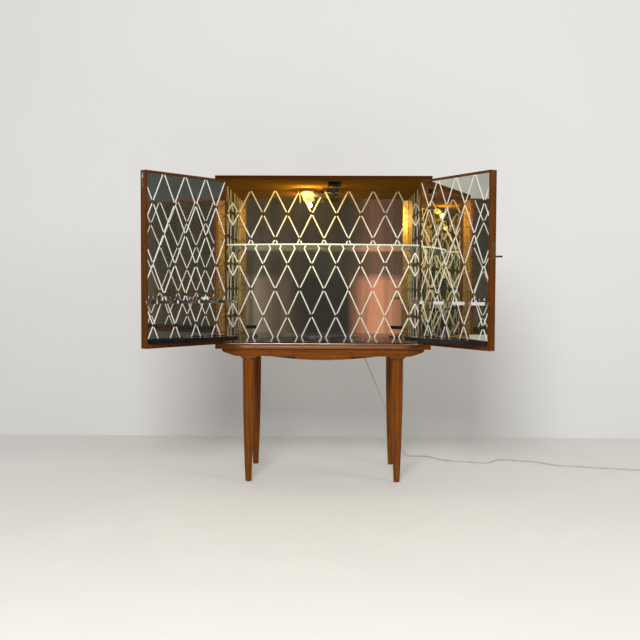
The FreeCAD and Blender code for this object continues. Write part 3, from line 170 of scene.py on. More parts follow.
def dress(material, *nodes):
    """Give CAD nodes a material."""
    for node in nodes:
        piece = bpy.data.objects[node]
        if not piece.material_slots:
            piece.data.materials.append(material)
        for slot in piece.material_slots:
            slot.material = material


# Node trees

def node(tree, kind, inputs=None, **settings):
    """Add a node, set its own settings, and give its inputs values or joined sockets."""
    item = tree.nodes.new(kind)
    for name, value in settings.items():
        setattr(item, name, value)
    for name, value in (inputs or {}).items():
        if isinstance(value, bpy.types.NodeSocket):
            tree.links.new(value, item.inputs[name])
        else:
            item.inputs[name].default_value = value
    return item


def ramp(tree, factor, *stops):
    """A colour ramp with stops of a place and a grey or a colour."""
    item = node(tree, "ShaderNodeValToRGB", {"Fac": factor})
    points = item.color_ramp.elements
    while len(points) < len(stops):
        points.new(0.5)
    for point, (place, value) in zip(points, stops):
        point.position = place
        point.color = (value, value, value, 1.0) if isinstance(value, float) else (*value, 1.0)
    return item.outputs["Color"]


def mixed(tree, factor, first, second):
    """Mix two colours."""
    item = node(tree, "ShaderNodeMix", data_type="RGBA")
    for place, value in ((0, factor), (6, first), (7, second)):
        if isinstance(value, bpy.types.NodeSocket):
            tree.links.new(value, item.inputs[place])
        else:
            item.inputs[place].default_value = value if place == 0 else (*value, 1.0)
    return item.outputs[2]


def ranged(tree, value, low, high):
    """Spread a value from nought to one between two others."""
    return node(tree, "ShaderNodeMapRange", {"Value": value, "To Min": low,
                                             "To Max": high}).outputs["Result"]


def faded(tree, value, near, far, rest=0.0):
    """One where a value is below the first, and the rest where it is above the second."""
    return node(tree, "ShaderNodeMapRange", {"Value": value, "From Min": near, "From Max": far, "To Min": 1.0,
                                             "To Max": rest}).outputs["Result"]


def maths(tree, operation, first, second=0.0):
    """Join two values by an operation."""
    return node(tree, "ShaderNodeMath", {0: first, 1: second}, operation=operation).outputs[0]


def new_group(name, inputs, outputs):
    """Start a shader node group with named inputs and outputs."""
    group = bpy.data.node_groups.new(name, "ShaderNodeTree")
    for label, kind, default in inputs:
        socket = group.interface.new_socket(label, in_out="INPUT", socket_type=kind)
        if default is not None:
            socket.default_value = default
    for label, kind in outputs:
        group.interface.new_socket(label, in_out="OUTPUT", socket_type=kind)
    return group, group.nodes.new("NodeGroupInput"), group.nodes.new("NodeGroupOutput")


def placed_group(tree, group, inputs):
    """Place a shared group and give its inputs values or joined sockets."""
    return node(tree, "ShaderNodeGroup", inputs, node_tree=group)


def new_material(name):
    """A material with an empty tree, its shader and its output."""
    material = bpy.data.materials.new(name)
    material.use_nodes = True
    tree = material.node_tree
    tree.nodes.clear()
    shader = tree.nodes.new("ShaderNodeBsdfPrincipled")
    output = tree.nodes.new("ShaderNodeOutputMaterial")
    tree.links.new(shader.outputs["BSDF"], output.inputs["Surface"])
    return material, tree, shader


def object_place(tree, scale=(1.0, 1.0, 1.0), turn=(0.0, 0.0, 0.0)):
    """Object coordinates, scaled and turned."""
    start = tree.nodes.new("ShaderNodeTexCoord")
    return node(tree, "ShaderNodeMapping", {"Vector": start.outputs["Object"], "Scale": scale,
                                            "Rotation": turn}).outputs["Vector"]


def noise(tree, vector, scale, detail=2.0, roughness=0.5, distortion=0.0):
    """Noise between nought and one."""
    return node(tree, "ShaderNodeTexNoise", {"Vector": vector, "Scale": scale, "Detail": detail,
                                             "Roughness": roughness,
                                             "Distortion": distortion}).outputs["Fac"]


def coat(tree, shader, color, roughness, constants=None):
    """Give a shader its colour and roughness, and the inputs that stay constant."""
    tree.links.new(color, shader.inputs["Base Color"])
    tree.links.new(roughness, shader.inputs["Roughness"])
    for name, value in (constants or {}).items():
        shader.inputs[name].default_value = value


def bumped(tree, shader, height, distance, strength=1.0):
    """Let a height move the shader's normal."""
    bump = node(tree, "ShaderNodeBump", {"Height": height, "Distance": distance, "Strength": strength})
    tree.links.new(bump.outputs["Normal"], shader.inputs["Normal"])


def let_through(tree, shader, factor, color=(1.0, 1.0, 1.0)):
    """Make a finish clear where the factor is one."""
    clear = node(tree, "ShaderNodeBsdfTransparent", {"Color": (*color, 1.0)})
    blend = node(tree, "ShaderNodeMixShader", {0: factor})
    output = next(item for item in tree.nodes if item.type == "OUTPUT_MATERIAL")
    tree.links.new(shader.outputs["BSDF"], blend.inputs[1])
    tree.links.new(clear.outputs["BSDF"], blend.inputs[2])
    tree.links.new(blend.outputs["Shader"], output.inputs["Surface"])


# Effects that several finishes share

def grain_group():
    """Growth lines, fine streaks and open pores of a plank whose grain runs along X."""
    group, given, out = new_group("Wood grain", (
        ("Vector", "NodeSocketVector", None),
        ("Light", "NodeSocketColor", (0.3, 0.12, 0.03, 1.0)),
        ("Dark", "NodeSocketColor", (0.1, 0.03, 0.01, 1.0)),
        ("Figure", "NodeSocketFloat", 0.6),
    ), (("Color", "NodeSocketColor"), ("Height", "NodeSocketFloat"), ("Roughness", "NodeSocketFloat")))
    place = given.outputs["Vector"]
    slow = node(group, "ShaderNodeMapping", {"Vector": place, "Scale": (1.1, 9.0, 9.0)}).outputs["Vector"]
    rings = node(group, "ShaderNodeTexWave",
                 {"Vector": slow, "Scale": 1.9, "Distortion": 6.5, "Detail": 3.0, "Detail Scale": 0.9,
                  "Detail Roughness": 0.6},
                 wave_type="RINGS", rings_direction="X", wave_profile="SAW").outputs["Fac"]
    drift = noise(group, slow, 0.7, 2.0)
    streak_place = node(group, "ShaderNodeMapping", {"Vector": place, "Scale": (5.0, 240.0, 240.0)})
    streaks = noise(group, streak_place.outputs["Vector"], 1.0, 3.0, 0.65)
    pore_place = node(group, "ShaderNodeMapping", {"Vector": place, "Scale": (45.0, 1300.0, 1300.0)})
    pores = ramp(group, noise(group, pore_place.outputs["Vector"], 1.0, 1.0), (0.56, 0.0), (0.68, 1.0))
    figure = maths(group, "MULTIPLY", rings, given.outputs["Figure"])
    lines = maths(group, "ADD", figure, maths(group, "MULTIPLY", streaks, 0.55))
    shade = ramp(group, maths(group, "ADD", lines, maths(group, "MULTIPLY", drift, 0.45)),
                 (0.34, 0.0), (1.02, 1.0))
    wood = mixed(group, shade, given.outputs["Light"], given.outputs["Dark"])
    color = mixed(group, maths(group, "MULTIPLY", pores, 0.45), wood, (0.02, 0.008, 0.003))
    group.links.new(color, out.inputs["Color"])
    group.links.new(maths(group, "SUBTRACT", streaks, pores), out.inputs["Height"])
    group.links.new(ranged(group, streaks, 0.34, 0.56), out.inputs["Roughness"])
    return group


def smudge_group():
    """Handling marks and hairline scratches."""
    group, given, out = new_group("Handling marks", (
        ("Vector", "NodeSocketVector", None),
        ("Scale", "NodeSocketFloat", 18.0),
    ), (("Mask", "NodeSocketFloat"), ("Scratches", "NodeSocketFloat")))
    place = given.outputs["Vector"]
    cloud = noise(group, place, given.outputs["Scale"], 5.0, 0.62, 0.6)
    group.links.new(ramp(group, cloud, (0.42, 0.0), (0.70, 1.0)), out.inputs["Mask"])
    first = node(group, "ShaderNodeMapping", {"Vector": place, "Rotation": (0.3, 0.5, 0.9),
                                              "Scale": (14.0, 700.0, 700.0)}).outputs["Vector"]
    second = node(group, "ShaderNodeMapping", {"Vector": place, "Rotation": (-0.6, 1.1, -0.4),
                                               "Scale": (11.0, 620.0, 620.0)}).outputs["Vector"]
    hairs = maths(group, "MAXIMUM", noise(group, first, 1.0, 0.0), noise(group, second, 1.0, 0.0))
    group.links.new(ramp(group, hairs, (0.74, 0.0), (0.80, 1.0)), out.inputs["Scratches"])
    return group


def dust_group():
    """Dust and scuffs that thicken towards the floor."""
    group, given, out = new_group("Floor dust", (
        ("Vector", "NodeSocketVector", None),
        ("Reach", "NodeSocketFloat", 0.08),
    ), (("Mask", "NodeSocketFloat"),))
    place = given.outputs["Vector"]
    level = node(group, "ShaderNodeSeparateXYZ", {"Vector": place}).outputs["Z"]
    low = faded(group, level, 0.0, given.outputs["Reach"])
    patches = ramp(group, noise(group, place, 70.0, 4.0, 0.6), (0.4, 0.0), (0.75, 1.0))
    group.links.new(maths(group, "MULTIPLY", low, patches), out.inputs["Mask"])
    return group


GROUPS = {}


def shared_group(name, maker):
    """The shared group of a name, made when it is first asked for."""
    if name not in GROUPS:
        GROUPS[name] = maker()
    return GROUPS[name]


def marks(tree, place, scale):
    """The masks of smudges and of hairline scratches."""
    item = placed_group(tree, shared_group("marks", smudge_group), {"Vector": place, "Scale": scale})
    return item.outputs["Mask"], item.outputs["Scratches"]


def plank(tree, place, light, dark, figure):
    """The grain of a plank in two colours: its colour, height and roughness."""
    return placed_group(tree, shared_group("grain", grain_group), {
        "Vector": place, "Light": (*light, 1.0), "Dark": (*dark, 1.0), "Figure": figure}).outputs


def own_color(material):
    """A finish's tree and shader, and the socket that gives its colour."""
    tree = material.node_tree
    shader = next(item for item in tree.nodes if item.type == "BSDF_PRINCIPLED")
    return tree, shader, shader.inputs["Base Color"].links[0].from_socket


# Finishes

ALONG_X = (0.0, 0.0, 0.0)
ALONG_Y = (0.0, 0.0, math.pi / 2)
ALONG_Z = (0.0, math.pi / 2, 0.0)

# How strongly handling and floor dust tint the wood
HANDLED = 0.18
DUST_COLOR = (0.20, 0.12, 0.06)

# Dirt and painted shade in the front rails' seams, and painted shadow under the board: up to where each is
# full, and where it ends
SEAM_DIRT_AND_SHADE = (0.0006, 0.0030)
BOARD_SHADOW = (0.0010, 0.0050)
# The bevels of the finger grip, which get painted shade, lie between these depths behind the rails' face
BEVEL_START = (0.0002, 0.0008)
BEVEL_END = (0.0050, 0.0059)
# How strongly, and in what colour, the dirt and painted shade darken the rails
DIRT_AND_SHADE_STRENGTH = 0.88
DIRT_AND_SHADE_COLOR = (0.025, 0.009, 0.002)

# Above its underside the top board changes from the ceiling's wood, painted lighter and golden as the lamp's
# light on it, to the outside's
CEILING_EDGE = (0.0002, 0.0014)
CEILING_FIGURE = 0.25

GLASS_IOR = 1.5


def wood_finish(name, turn, light, dark, figure=0.32, gloss=0.0, shine=0.12):
    """Oiled wood with its grain along one axis of the cabinet."""
    depth = bpy.context.scene.cabinet_wood.pore_depth
    material, tree, shader = new_material(name)
    grain = plank(tree, object_place(tree, turn=turn), light, dark, figure)
    place = object_place(tree)
    dust = placed_group(tree, shared_group("dust", dust_group), {"Vector": place}).outputs["Mask"]
    mask, scratches = marks(tree, place, 9.0)
    handled = mixed(tree, maths(tree, "MULTIPLY", mask, HANDLED), grain["Color"],
                    tuple(0.45 * part for part in dark))
    sheen = maths(tree, "SUBTRACT", grain["Roughness"], gloss)
    coat(tree, shader, mixed(tree, maths(tree, "MULTIPLY", dust, HANDLED), handled, DUST_COLOR),
         maths(tree, "ADD", sheen, maths(tree, "MULTIPLY", mask, 0.08)), {"Specular IOR Level": shine})
    height = maths(tree, "SUBTRACT", grain["Height"], maths(tree, "MULTIPLY", scratches, 0.5))
    bumped(tree, shader, height, depth, 0.6)
    return material


def top_finish(light, dark, under_light, under_dark, level):
    """Wood that is darker outside than on the underside, where it is the ceiling of the case and is painted
    lighter and golden as the lamp's light on it.
    """
    material = wood_finish("dark_top", ALONG_X, light, dark, 0.4, 0.0, 0.0)
    tree, shader, outside = own_color(material)
    height = node(tree, "ShaderNodeSeparateXYZ", {"Vector": object_place(tree)}).outputs["Z"]
    below = faded(tree, height, *(level + reach for reach in CEILING_EDGE))
    # The ceiling's wood, painted lighter and golden as the lamp's light
    ceiling = plank(tree, object_place(tree), under_light, under_dark, CEILING_FIGURE)
    color = mixed(tree, below, outside, ceiling["Color"])
    tree.links.new(color, shader.inputs["Base Color"])
    return material


def carved_finish(name, light, dark, seam, top, face):
    """Rails darkened in the seams by dirt and painted shade, under the board by painted shadow, and on the
    finger grip's bevels by painted shade.
    """
    material = wood_finish(name, ALONG_X, light, dark)
    tree, shader, fresh = own_color(material)
    place = node(tree, "ShaderNodeSeparateXYZ", {"Vector": object_place(tree)}).outputs
    off_middle = maths(tree, "ABSOLUTE", place["X"])
    off_seam = maths(tree, "ABSOLUTE", maths(tree, "SUBTRACT", off_middle, seam))
    # Dark seams: dirt, and painted shade of the gaps
    joint = faded(tree, off_seam, *SEAM_DIRT_AND_SHADE)
    # Painted shadow under the bottom board
    under = faded(tree, maths(tree, "SUBTRACT", top, place["Z"]), *BOARD_SHADOW)
    # Painted shade on the finger grip's bevels
    on_face = faded(tree, place["Y"], *(face + reach for reach in BEVEL_START))
    in_reach = faded(tree, place["Y"], *(face + reach for reach in BEVEL_END))
    bevel = maths(tree, "MULTIPLY", maths(tree, "SUBTRACT", 1.0, on_face), in_reach)
    dirt_and_shade = maths(tree, "MAXIMUM", maths(tree, "MAXIMUM", joint, under), bevel)
    color = mixed(tree, maths(tree, "MULTIPLY", dirt_and_shade, DIRT_AND_SHADE_STRENGTH), fresh, DIRT_AND_SHADE_COLOR)
    tree.links.new(color, shader.inputs["Base Color"])
    return material


def mirror_finish():
    """Old silvering: faint clouding, a veil of dust and small dark spots."""
    material, tree, shader = new_material("aged_silvering")
    place = object_place(tree)
    mask, scratches = marks(tree, place, 7.0)
    spots = ramp(tree, noise(tree, place, 150.0, 3.0, 0.55), (0.76, 0.0), (0.84, 1.0))
    silver = mixed(tree, mask, (0.89, 0.87, 0.76), (0.80, 0.78, 0.66))
    coat(tree, shader, mixed(tree, maths(tree, "MULTIPLY", spots, 0.55), silver, (0.16, 0.13, 0.09)),
         ranged(tree, maths(tree, "MAXIMUM", mask, scratches), 0.004, 0.030), {"Metallic": 0.985})
    bumped(tree, shader, noise(tree, place, 9.0, 1.0), 0.0004, 0.25)
    return material


def stroke_finish():
    """Ground glass of the lattice: matt and slightly uneven."""
    material, tree, shader = new_material("ground_strokes")
    place = object_place(tree)
    grit = noise(tree, place, 900.0)
    uneven = ranged(tree, noise(tree, place, 30.0, 3.0), 0.0, 0.5)
    coat(tree, shader, mixed(tree, uneven, (0.80, 0.80, 0.79), (0.68, 0.68, 0.67)),
         ranged(tree, grit, 0.45, 0.8))
    bumped(tree, shader, grit, 0.00005, 0.5)
    return material


def clear_glass_finish():
    """Plate glass with a green cast, a veil of dust and faint marks, which lets the lamp's light through."""
    material, tree, shader = new_material("plate_glass")
    mask, scratches = marks(tree, object_place(tree), 12.0)
    coat(tree, shader, mixed(tree, mask, (0.93, 0.975, 0.95), (0.88, 0.94, 0.91)),
         ranged(tree, maths(tree, "MAXIMUM", mask, scratches), 0.0, 0.06),
         {"Transmission Weight": 0.8, "IOR": GLASS_IOR})
    paths = tree.nodes.new("ShaderNodeLightPath")
    let_through(tree, shader, paths.outputs["Is Shadow Ray"], (0.90, 0.97, 0.93))
    return material


def ground_edge_finish():
    """The ground edge of the shelf, pale green and bright."""
    material, tree, shader = new_material("ground_edge")
    grit = noise(tree, object_place(tree), 260.0, 3.0)
    coat(tree, shader, mixed(tree, grit, (0.66, 0.84, 0.70), (0.86, 0.95, 0.82)),
         ranged(tree, grit, 0.25, 0.5), {"Transmission Weight": 0.25, "IOR": GLASS_IOR})
    bumped(tree, shader, grit, 0.0001, 0.4)
    return material


def lacquer_finish():
    """Gloss black lacquer with faint wipe marks."""
    material, tree, shader = new_material("gloss_lacquer")
    place = object_place(tree)
    mask, scratches = marks(tree, place, 11.0)
    coat(tree, shader, mixed(tree, mask, (0.005, 0.005, 0.006), (0.013, 0.012, 0.011)),
         ranged(tree, maths(tree, "MAXIMUM", mask, scratches), 0.05, 0.20),
         {"Coat Weight": 0.2, "Coat Roughness": 0.04, "Specular IOR Level": 0.25})
    bumped(tree, shader, noise(tree, place, 60.0), 0.0001, 0.15)
    return material


def metal_finish(name, bright, dull, smooth, rough, cloud_scale=60.0):
    """Metal with dull patches and fine scratches."""
    material, tree, shader = new_material(name)
    mask, scratches = marks(tree, object_place(tree), cloud_scale)
    coat(tree, shader, mixed(tree, mask, bright, dull),
         ranged(tree, maths(tree, "MAXIMUM", mask, scratches), smooth, rough), {"Metallic": 1.0})
    bumped(tree, shader, maths(tree, "SUBTRACT", mask, scratches), 0.00004, 0.35)
    return material


def plastic_finish(name, color, worn, low=0.35, high=0.55):
    """Moulded plastic with a fine texture."""
    material, tree, shader = new_material(name)
    place = object_place(tree)
    mask, scratches = marks(tree, place, 45.0)
    coat(tree, shader, mixed(tree, maths(tree, "MAXIMUM", mask, scratches), color, worn),
         ranged(tree, mask, low, high))
    bumped(tree, shader, noise(tree, place, 1500.0), 0.00005, 0.4)
    return material


def bulb_finish(glow):
    """A lit bulb, whose own light varies a little over the glass."""
    material, tree, shader = new_material("lit_bulb")
    cloud = noise(tree, object_place(tree), 45.0)
    pale, deep = (tuple(share * part for part in glow) for share in (0.3, 0.2))
    coat(tree, shader, mixed(tree, cloud, pale, deep), ranged(tree, cloud, 0.1, 0.3),
         {"Emission Strength": 1.0, "Specular IOR Level": 0.0})
    tree.links.new(mixed(tree, cloud, (1.0, 0.74, 0.20), (1.0, 0.86, 0.42)), shader.inputs["Emission Color"])
    return material


# Camera, cord and stage

class CABINET_OT_camera(Operator):
    """Stand the camera where the cabinet is seen from the front"""
    bl_idname = "cabinet.camera"
    bl_label = "Camera"

    def execute(self, context):
        view = context.scene.cabinet_camera
        ahead = Vector((math.sin(view.yaw), math.cos(view.yaw), 0.0))
        right = Vector((math.cos(view.yaw), -math.sin(view.yaw), 0.0))
        up = Vector((0.0, 0.0, 1.0))
        sight = ahead * math.cos(view.pitch) - up * math.sin(view.pitch)
        top = up * math.cos(view.pitch) + ahead * math.sin(view.pitch)
        across = right * math.cos(view.roll) + top * math.sin(view.roll)
        upright = top * math.cos(view.roll) - right * math.sin(view.roll)
        turned = Matrix((across, upright, -sight)).transposed().to_4x4()
        place = Vector(view.position) + Vector((0.0, FRONT, 0.0))
        data = bpy.data.cameras.new("front_camera")
        data.lens = view.focal_length
        camera = bpy.data.objects.new("front_camera", data)
        camera.matrix_world = Matrix.Translation(place) @ turned
        context.scene.collection.objects.link(camera)
        context.scene.camera = camera
        return {"FINISHED"}


# The cord's points, with Y measured from the front of the case: down behind it, then over the floor
CORD_ROUTE = (
    (-0.104, 0.385, 1.14), (-0.104, 0.4, 1.14), (-0.101, 0.415, 1.132), (-0.095, 0.424, 1.113),
    (0.34, 0.502, 0.09), (0.352, 0.508, 0.055), (0.364, 0.517, 0.026), (0.38, 0.53, 0.008),
    (0.404, 0.538, 0.0028), (0.44, 0.541, 0.0028), (0.474, 0.532, 0.0028), (0.496, 0.508, 0.0028),
    (0.51, 0.48, 0.0028), (0.533, 0.455, 0.0028), (0.572, 0.434, 0.0028), (0.618, 0.423, 0.0028),
    (0.662, 0.403, 0.0028), (0.706, 0.39, 0.0028), (0.738, 0.402, 0.0028), (0.756, 0.438, 0.0028),
    (0.78, 0.466, 0.0028), (0.814, 0.472, 0.0028), (0.85, 0.458, 0.0028), (0.89, 0.439, 0.0028),
    (0.93, 0.428, 0.0028), (0.962, 0.408, 0.0028), (0.988, 0.375, 0.0028), (1.02, 0.35, 0.0028),
    (1.064, 0.341, 0.0028), (1.118, 0.325, 0.0028), (1.176, 0.306, 0.0028), (1.236, 0.295, 0.0028),
    (1.294, 0.276, 0.0028), (1.345, 0.267, 0.0028), (1.385, 0.262, 0.0068), (1.412, 0.259, 0.0068),
)


# The strain relief: its length, and its radius at either end as a share of the cord's diameter
SLEEVE_LENGTH = 0.034
SLEEVE_WIDE = 0.9
SLEEVE_NARROW = 0.58


def cord_line(name, points):
    """A smooth curve that follows the route's points."""
    data = bpy.data.curves.new(name, "CURVE")
    data.dimensions = "3D"
    spline = data.splines.new("NURBS")
    spline.points.add(len(points) - 1)
    for point, (x, y, z) in zip(spline.points, points):
        point.co = (x, y + FRONT, z, 1.0)
    spline.order_u = 3
    spline.use_endpoint_u = True
    spline.resolution_u = 8
    return data


def ringed_tube(name, path, radii, sides=20):
    """A closed tube round a path with a radius at each of its points."""
    mesh = bmesh.new()
    rings = []
    for number, (place, radius) in enumerate(zip(path, radii)):
        before = path[max(number - 1, 0)]
        after = path[min(number + 1, len(path) - 1)]
        tangent = (after - before).normalized()
        first = tangent.cross(Vector((1.0, 0.0, 0.0))).normalized()
        second = tangent.cross(first)
        rings.append([mesh.verts.new(place + (first * math.cos(turn) + second * math.sin(turn)) * radius)
                      for turn in (2.0 * math.pi * step / sides for step in range(sides))])
    for near, far in zip(rings, rings[1:]):
        for step in range(sides):
            mesh.faces.new((near[step], near[step - 1], far[step - 1], far[step]))
    mesh.faces.new(rings[0])
    mesh.faces.new(list(reversed(rings[-1])))
    bmesh.ops.recalc_face_normals(mesh, faces=mesh.faces)
    data = bpy.data.meshes.new(name)
    mesh.to_mesh(data)
    mesh.free()
    for face in data.polygons:
        face.use_smooth = len(face.vertices) == 4
    return data


class CABINET_OT_power_cord(Operator):
    """Run the cord from the back of the case down to the floor, with its strain relief and plug"""
    bl_idname = "cabinet.power_cord"
    bl_label = "Power cord"

    def execute(self, context):
        settings = context.scene.cabinet_cord
        flex = plastic_finish("cord_sheath", (0.62, 0.57, 0.47), (0.46, 0.41, 0.33), 0.38, 0.6)
        rubber = plastic_finish("cord_fittings", (0.020, 0.019, 0.018), (0.045, 0.042, 0.04), 0.45,
                                0.65)
        cord = bpy.data.objects.new("supply_cord", cord_line("supply_cord", CORD_ROUTE))
        context.scene.collection.objects.link(cord)
        line = bpy.data.meshes.new_from_object(cord)
        path = [vertex.co.copy() for vertex in line.vertices]
        bpy.data.meshes.remove(line)
        cord.data.bevel_depth = settings.diameter / 2
        cord.data.bevel_resolution = 4
        cord.data.use_fill_caps = True
        cord.data.materials.append(flex)
        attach(cord, "case")
        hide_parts("power_cord")
        dress(rubber, "mains_plug", "cord_grommet")
        reach = [0.0]
        for before, after in zip(path, path[1:]):
            reach.append(reach[-1] + (after - before).length)
        sleeve = [(place, run) for place, run in zip(path, reach) if run < SLEEVE_LENGTH]
        wide, narrow = settings.diameter * SLEEVE_WIDE, settings.diameter * SLEEVE_NARROW
        radii = [wide + (narrow - wide) * run / sleeve[-1][1] for place, run in sleeve]
        mesh = ringed_tube("cord_relief", [place for place, run in sleeve], radii)
        new_object("cord_relief", mesh, "case", "black_plastic", rubber)
        return {"FINISHED"}


# The stage: the floor lies just under the feet, and the rest stands round the cabinet
FLOOR_LEVEL = -0.0004
STAGE_HALF = 9.0
WALL_HEIGHT = 6.0
WALL_PLACE = FRONT + 1.05
CURTAIN_PLACE = FRONT - 4.6
CURTAIN_HALF = 3.2
CURTAIN_HEIGHT = 2.5
CARD_PLACE = 3.9
CARD_REAR = FRONT + 1.04
CARD_HEIGHT = 3.4

# The curtain's bands over this half width, and the levels between which it turns dark above
BANDS_HALF = 1.6
CURTAIN_BANDS = (
    (0.06, (0.075, 0.050, 0.036)), (0.22, (0.46, 0.36, 0.28)), (0.34, (0.16, 0.11, 0.08)),
    (0.43, (0.007, 0.008, 0.009)), (0.56, (0.010, 0.009, 0.009)), (0.64, (0.97, 0.41, 0.25)),
    (0.82, (0.85, 0.37, 0.23)), (0.96, (0.12, 0.085, 0.06)),
)
BANDS_TOP = (0.82, 0.90)

# Each studio lamp's name, place, aim, size, power and colour
STUDIO_LAMPS = (
    ("front_light", (-0.4, -3.95, 2.55), (0.0, 0.1, 0.8), 1.3, 128.0, (1.0, 0.985, 0.96)),
    ("window_light", (3.1, -1.9, 2.1), (0.0, 0.2, 0.8), 1.3, 34.0, (1.0, 0.99, 0.97)),
    ("fill_light", (-2.6, -2.4, 2.5), (0.0, 0.1, 0.7), 2.4, 8.0, (1.0, 0.98, 0.96)),
)
WORLD_LIGHT = 0.32


def one_sided(tree, shader):
    """Let everything pass through the back of a face."""
    facing = tree.nodes.new("ShaderNodeNewGeometry")
    let_through(tree, shader, facing.outputs["Backfacing"])


def stage_face(context, name, corners, material, in_view=True):
    """Stand a flat piece of the stage, which the camera may be kept from seeing."""
    mesh = bpy.data.meshes.new(name)
    mesh.from_pydata(corners, [], [(0, 1, 2, 3)])
    mesh.materials.append(material)
    face = bpy.data.objects.new(name, mesh)
    context.scene.collection.objects.link(face)
    face.visible_camera = in_view


class CABINET_OT_stage(Operator):
    """Lay the floor, stand the wall, and set the lights and the background"""
    bl_idname = "cabinet.stage"
    bl_label = "Stage"

    def execute(self, context):
        self.lay_floor(context)
        self.set_background(context)
        self.stand_wall(context)
        self.hang_curtain(context)
        self.stand_side_card(context)
        for lamp in STUDIO_LAMPS:
            self.hang_light(context, *lamp)
        return {"FINISHED"}

    def lay_floor(self, context):
        material, tree, shader = new_material("pale_floor")
        place = object_place(tree)
        cloud = noise(tree, place, 2.2, 5.0, 0.6)
        coat(tree, shader, mixed(tree, cloud, (0.85, 0.845, 0.815), (0.79, 0.785, 0.755)),
             ranged(tree, cloud, 0.5, 0.7), {"Specular IOR Level": 0.2})
        bumped(tree, shader, noise(tree, place, 60.0, 3.0), 0.0006, 0.3)
        half = STAGE_HALF
        stage_face(context, "studio_floor", [(-half, -half, FLOOR_LEVEL), (half, -half, FLOOR_LEVEL),
                                             (half, half, FLOOR_LEVEL), (-half, half, FLOOR_LEVEL)], material)

    def stand_wall(self, context):
        """A plain wall behind the cabinet, which is only there when it is seen from the front."""
        material, tree, shader = new_material("plaster")
        place = object_place(tree)
        cloud = noise(tree, place, 1.4, 4.0, 0.55)
        coat(tree, shader, mixed(tree, cloud, (0.84, 0.845, 0.84), (0.80, 0.805, 0.80)),
             ranged(tree, cloud, 0.7, 0.9), {"Specular IOR Level": 0.1})
        bumped(tree, shader, noise(tree, place, 40.0, 4.0), 0.001, 0.25)
        one_sided(tree, shader)
        half, away = STAGE_HALF, WALL_PLACE
        stage_face(context, "studio_wall", [(-half, away, FLOOR_LEVEL), (half, away, FLOOR_LEVEL),
                                            (half, away, WALL_HEIGHT), (-half, away, WALL_HEIGHT)], material)

    def hang_curtain(self, context):
        """A curtain of dark, pale and warm bands far in front, which only the mirrors show."""
        material, tree, shader = new_material("curtain_cloth")
        fold = noise(tree, object_place(tree, scale=(7.0, 1.0, 0.25)), 1.0, 3.0, 0.5, 0.4)
        place = node(tree, "ShaderNodeSeparateXYZ", {"Vector": object_place(tree)}).outputs
        share = node(tree, "ShaderNodeMapRange", {"Value": place["X"], "From Min": -BANDS_HALF,
                                                  "From Max": BANDS_HALF}).outputs["Result"]
        low = faded(tree, place["Z"], *BANDS_TOP, 0.22)
        hung = mixed(tree, low, (0.05, 0.038, 0.032), ramp(tree, share, *CURTAIN_BANDS))
        creases = ramp(tree, fold, (0.40, 0.0), (0.66, 0.75))
        coat(tree, shader, mixed(tree, creases, hung, (0.016, 0.013, 0.012)), ranged(tree, fold, 0.7, 0.9))
        one_sided(tree, shader)
        half, away, high = CURTAIN_HALF, CURTAIN_PLACE, CURTAIN_HEIGHT
        stage_face(context, "studio_curtain", [(half, away, 0.0), (-half, away, 0.0), (-half, away, high),
                                               (half, away, high)], material, in_view=False)

    def stand_side_card(self, context):
        """A dark card far to the right, which only the mirrors show."""
        material, tree, shader = new_material("card_paper")
        cloud = noise(tree, object_place(tree), 1.1, 3.0)
        coat(tree, shader, mixed(tree, cloud, (0.075, 0.085, 0.083), (0.045, 0.048, 0.046)),
             ranged(tree, cloud, 0.7, 0.9))
        one_sided(tree, shader)
        away, near, far, high = CARD_PLACE, CURTAIN_PLACE, CARD_REAR, CARD_HEIGHT
        stage_face(context, "studio_side_card", [(away, far, 0.0), (away, near, 0.0), (away, near, high),
                                                 (away, far, high)], material, in_view=False)

    def set_background(self, context):
        """One plain colour behind everything, and a weaker light from all round."""
        world = bpy.data.worlds.new("studio")
        context.scene.world = world
        world.use_nodes = True
        tree = world.node_tree
        tree.nodes.clear()
        paths = tree.nodes.new("ShaderNodeLightPath").outputs
        bounced = maths(tree, "MAXIMUM", paths["Is Glossy Ray"], paths["Is Transmission Ray"])
        seen = maths(tree, "MAXIMUM", paths["Is Camera Ray"], bounced)
        light = node(tree, "ShaderNodeBackground", {"Color": (1.0, 0.985, 0.96, 1.0),
                                                    "Strength": WORLD_LIGHT})
        plain = node(tree, "ShaderNodeBackground", {"Color": (0.86, 0.86, 0.85, 1.0), "Strength": 1.0})
        blend = node(tree, "ShaderNodeMixShader", {0: seen})
        output = tree.nodes.new("ShaderNodeOutputWorld")
        tree.links.new(light.outputs["Background"], blend.inputs[1])
        tree.links.new(plain.outputs["Background"], blend.inputs[2])
        tree.links.new(blend.outputs["Shader"], output.inputs["Surface"])
        context.scene.view_settings.view_transform = "Standard"

    def hang_light(self, context, name, place, aim, size, power, color):
        data = bpy.data.lights.new(name, "AREA")
        data.size = size
        data.energy = power
        data.color = color
        lamp = bpy.data.objects.new(name, data)
        lamp.location = place
        lamp.rotation_euler = (Vector(aim) - Vector(place)).to_track_quat("-Z", "Y").to_euler()
        context.scene.collection.objects.link(lamp)


# Finishes on the CAD pieces

# The doors' wood as a share of the case's, for its light and its dark colour: painted darker, as shade on the
# door edges
DOOR_SHADED_LIGHT, DOOR_SHADED_DARK = 0.56, 0.55
TOP_WOOD = ((0.085, 0.026, 0.003), (0.030, 0.008, 0.001))
# The ceiling's wood is painted lighter and golden as the lamp's light on it
CEILING_LAMPLIT_WOOD = ((0.150, 0.074, 0.012), (0.082, 0.036, 0.004))
PLY = ((0.34, 0.20, 0.095), (0.21, 0.115, 0.05))
BEECH = ((0.44, 0.27, 0.13), (0.30, 0.17, 0.08))


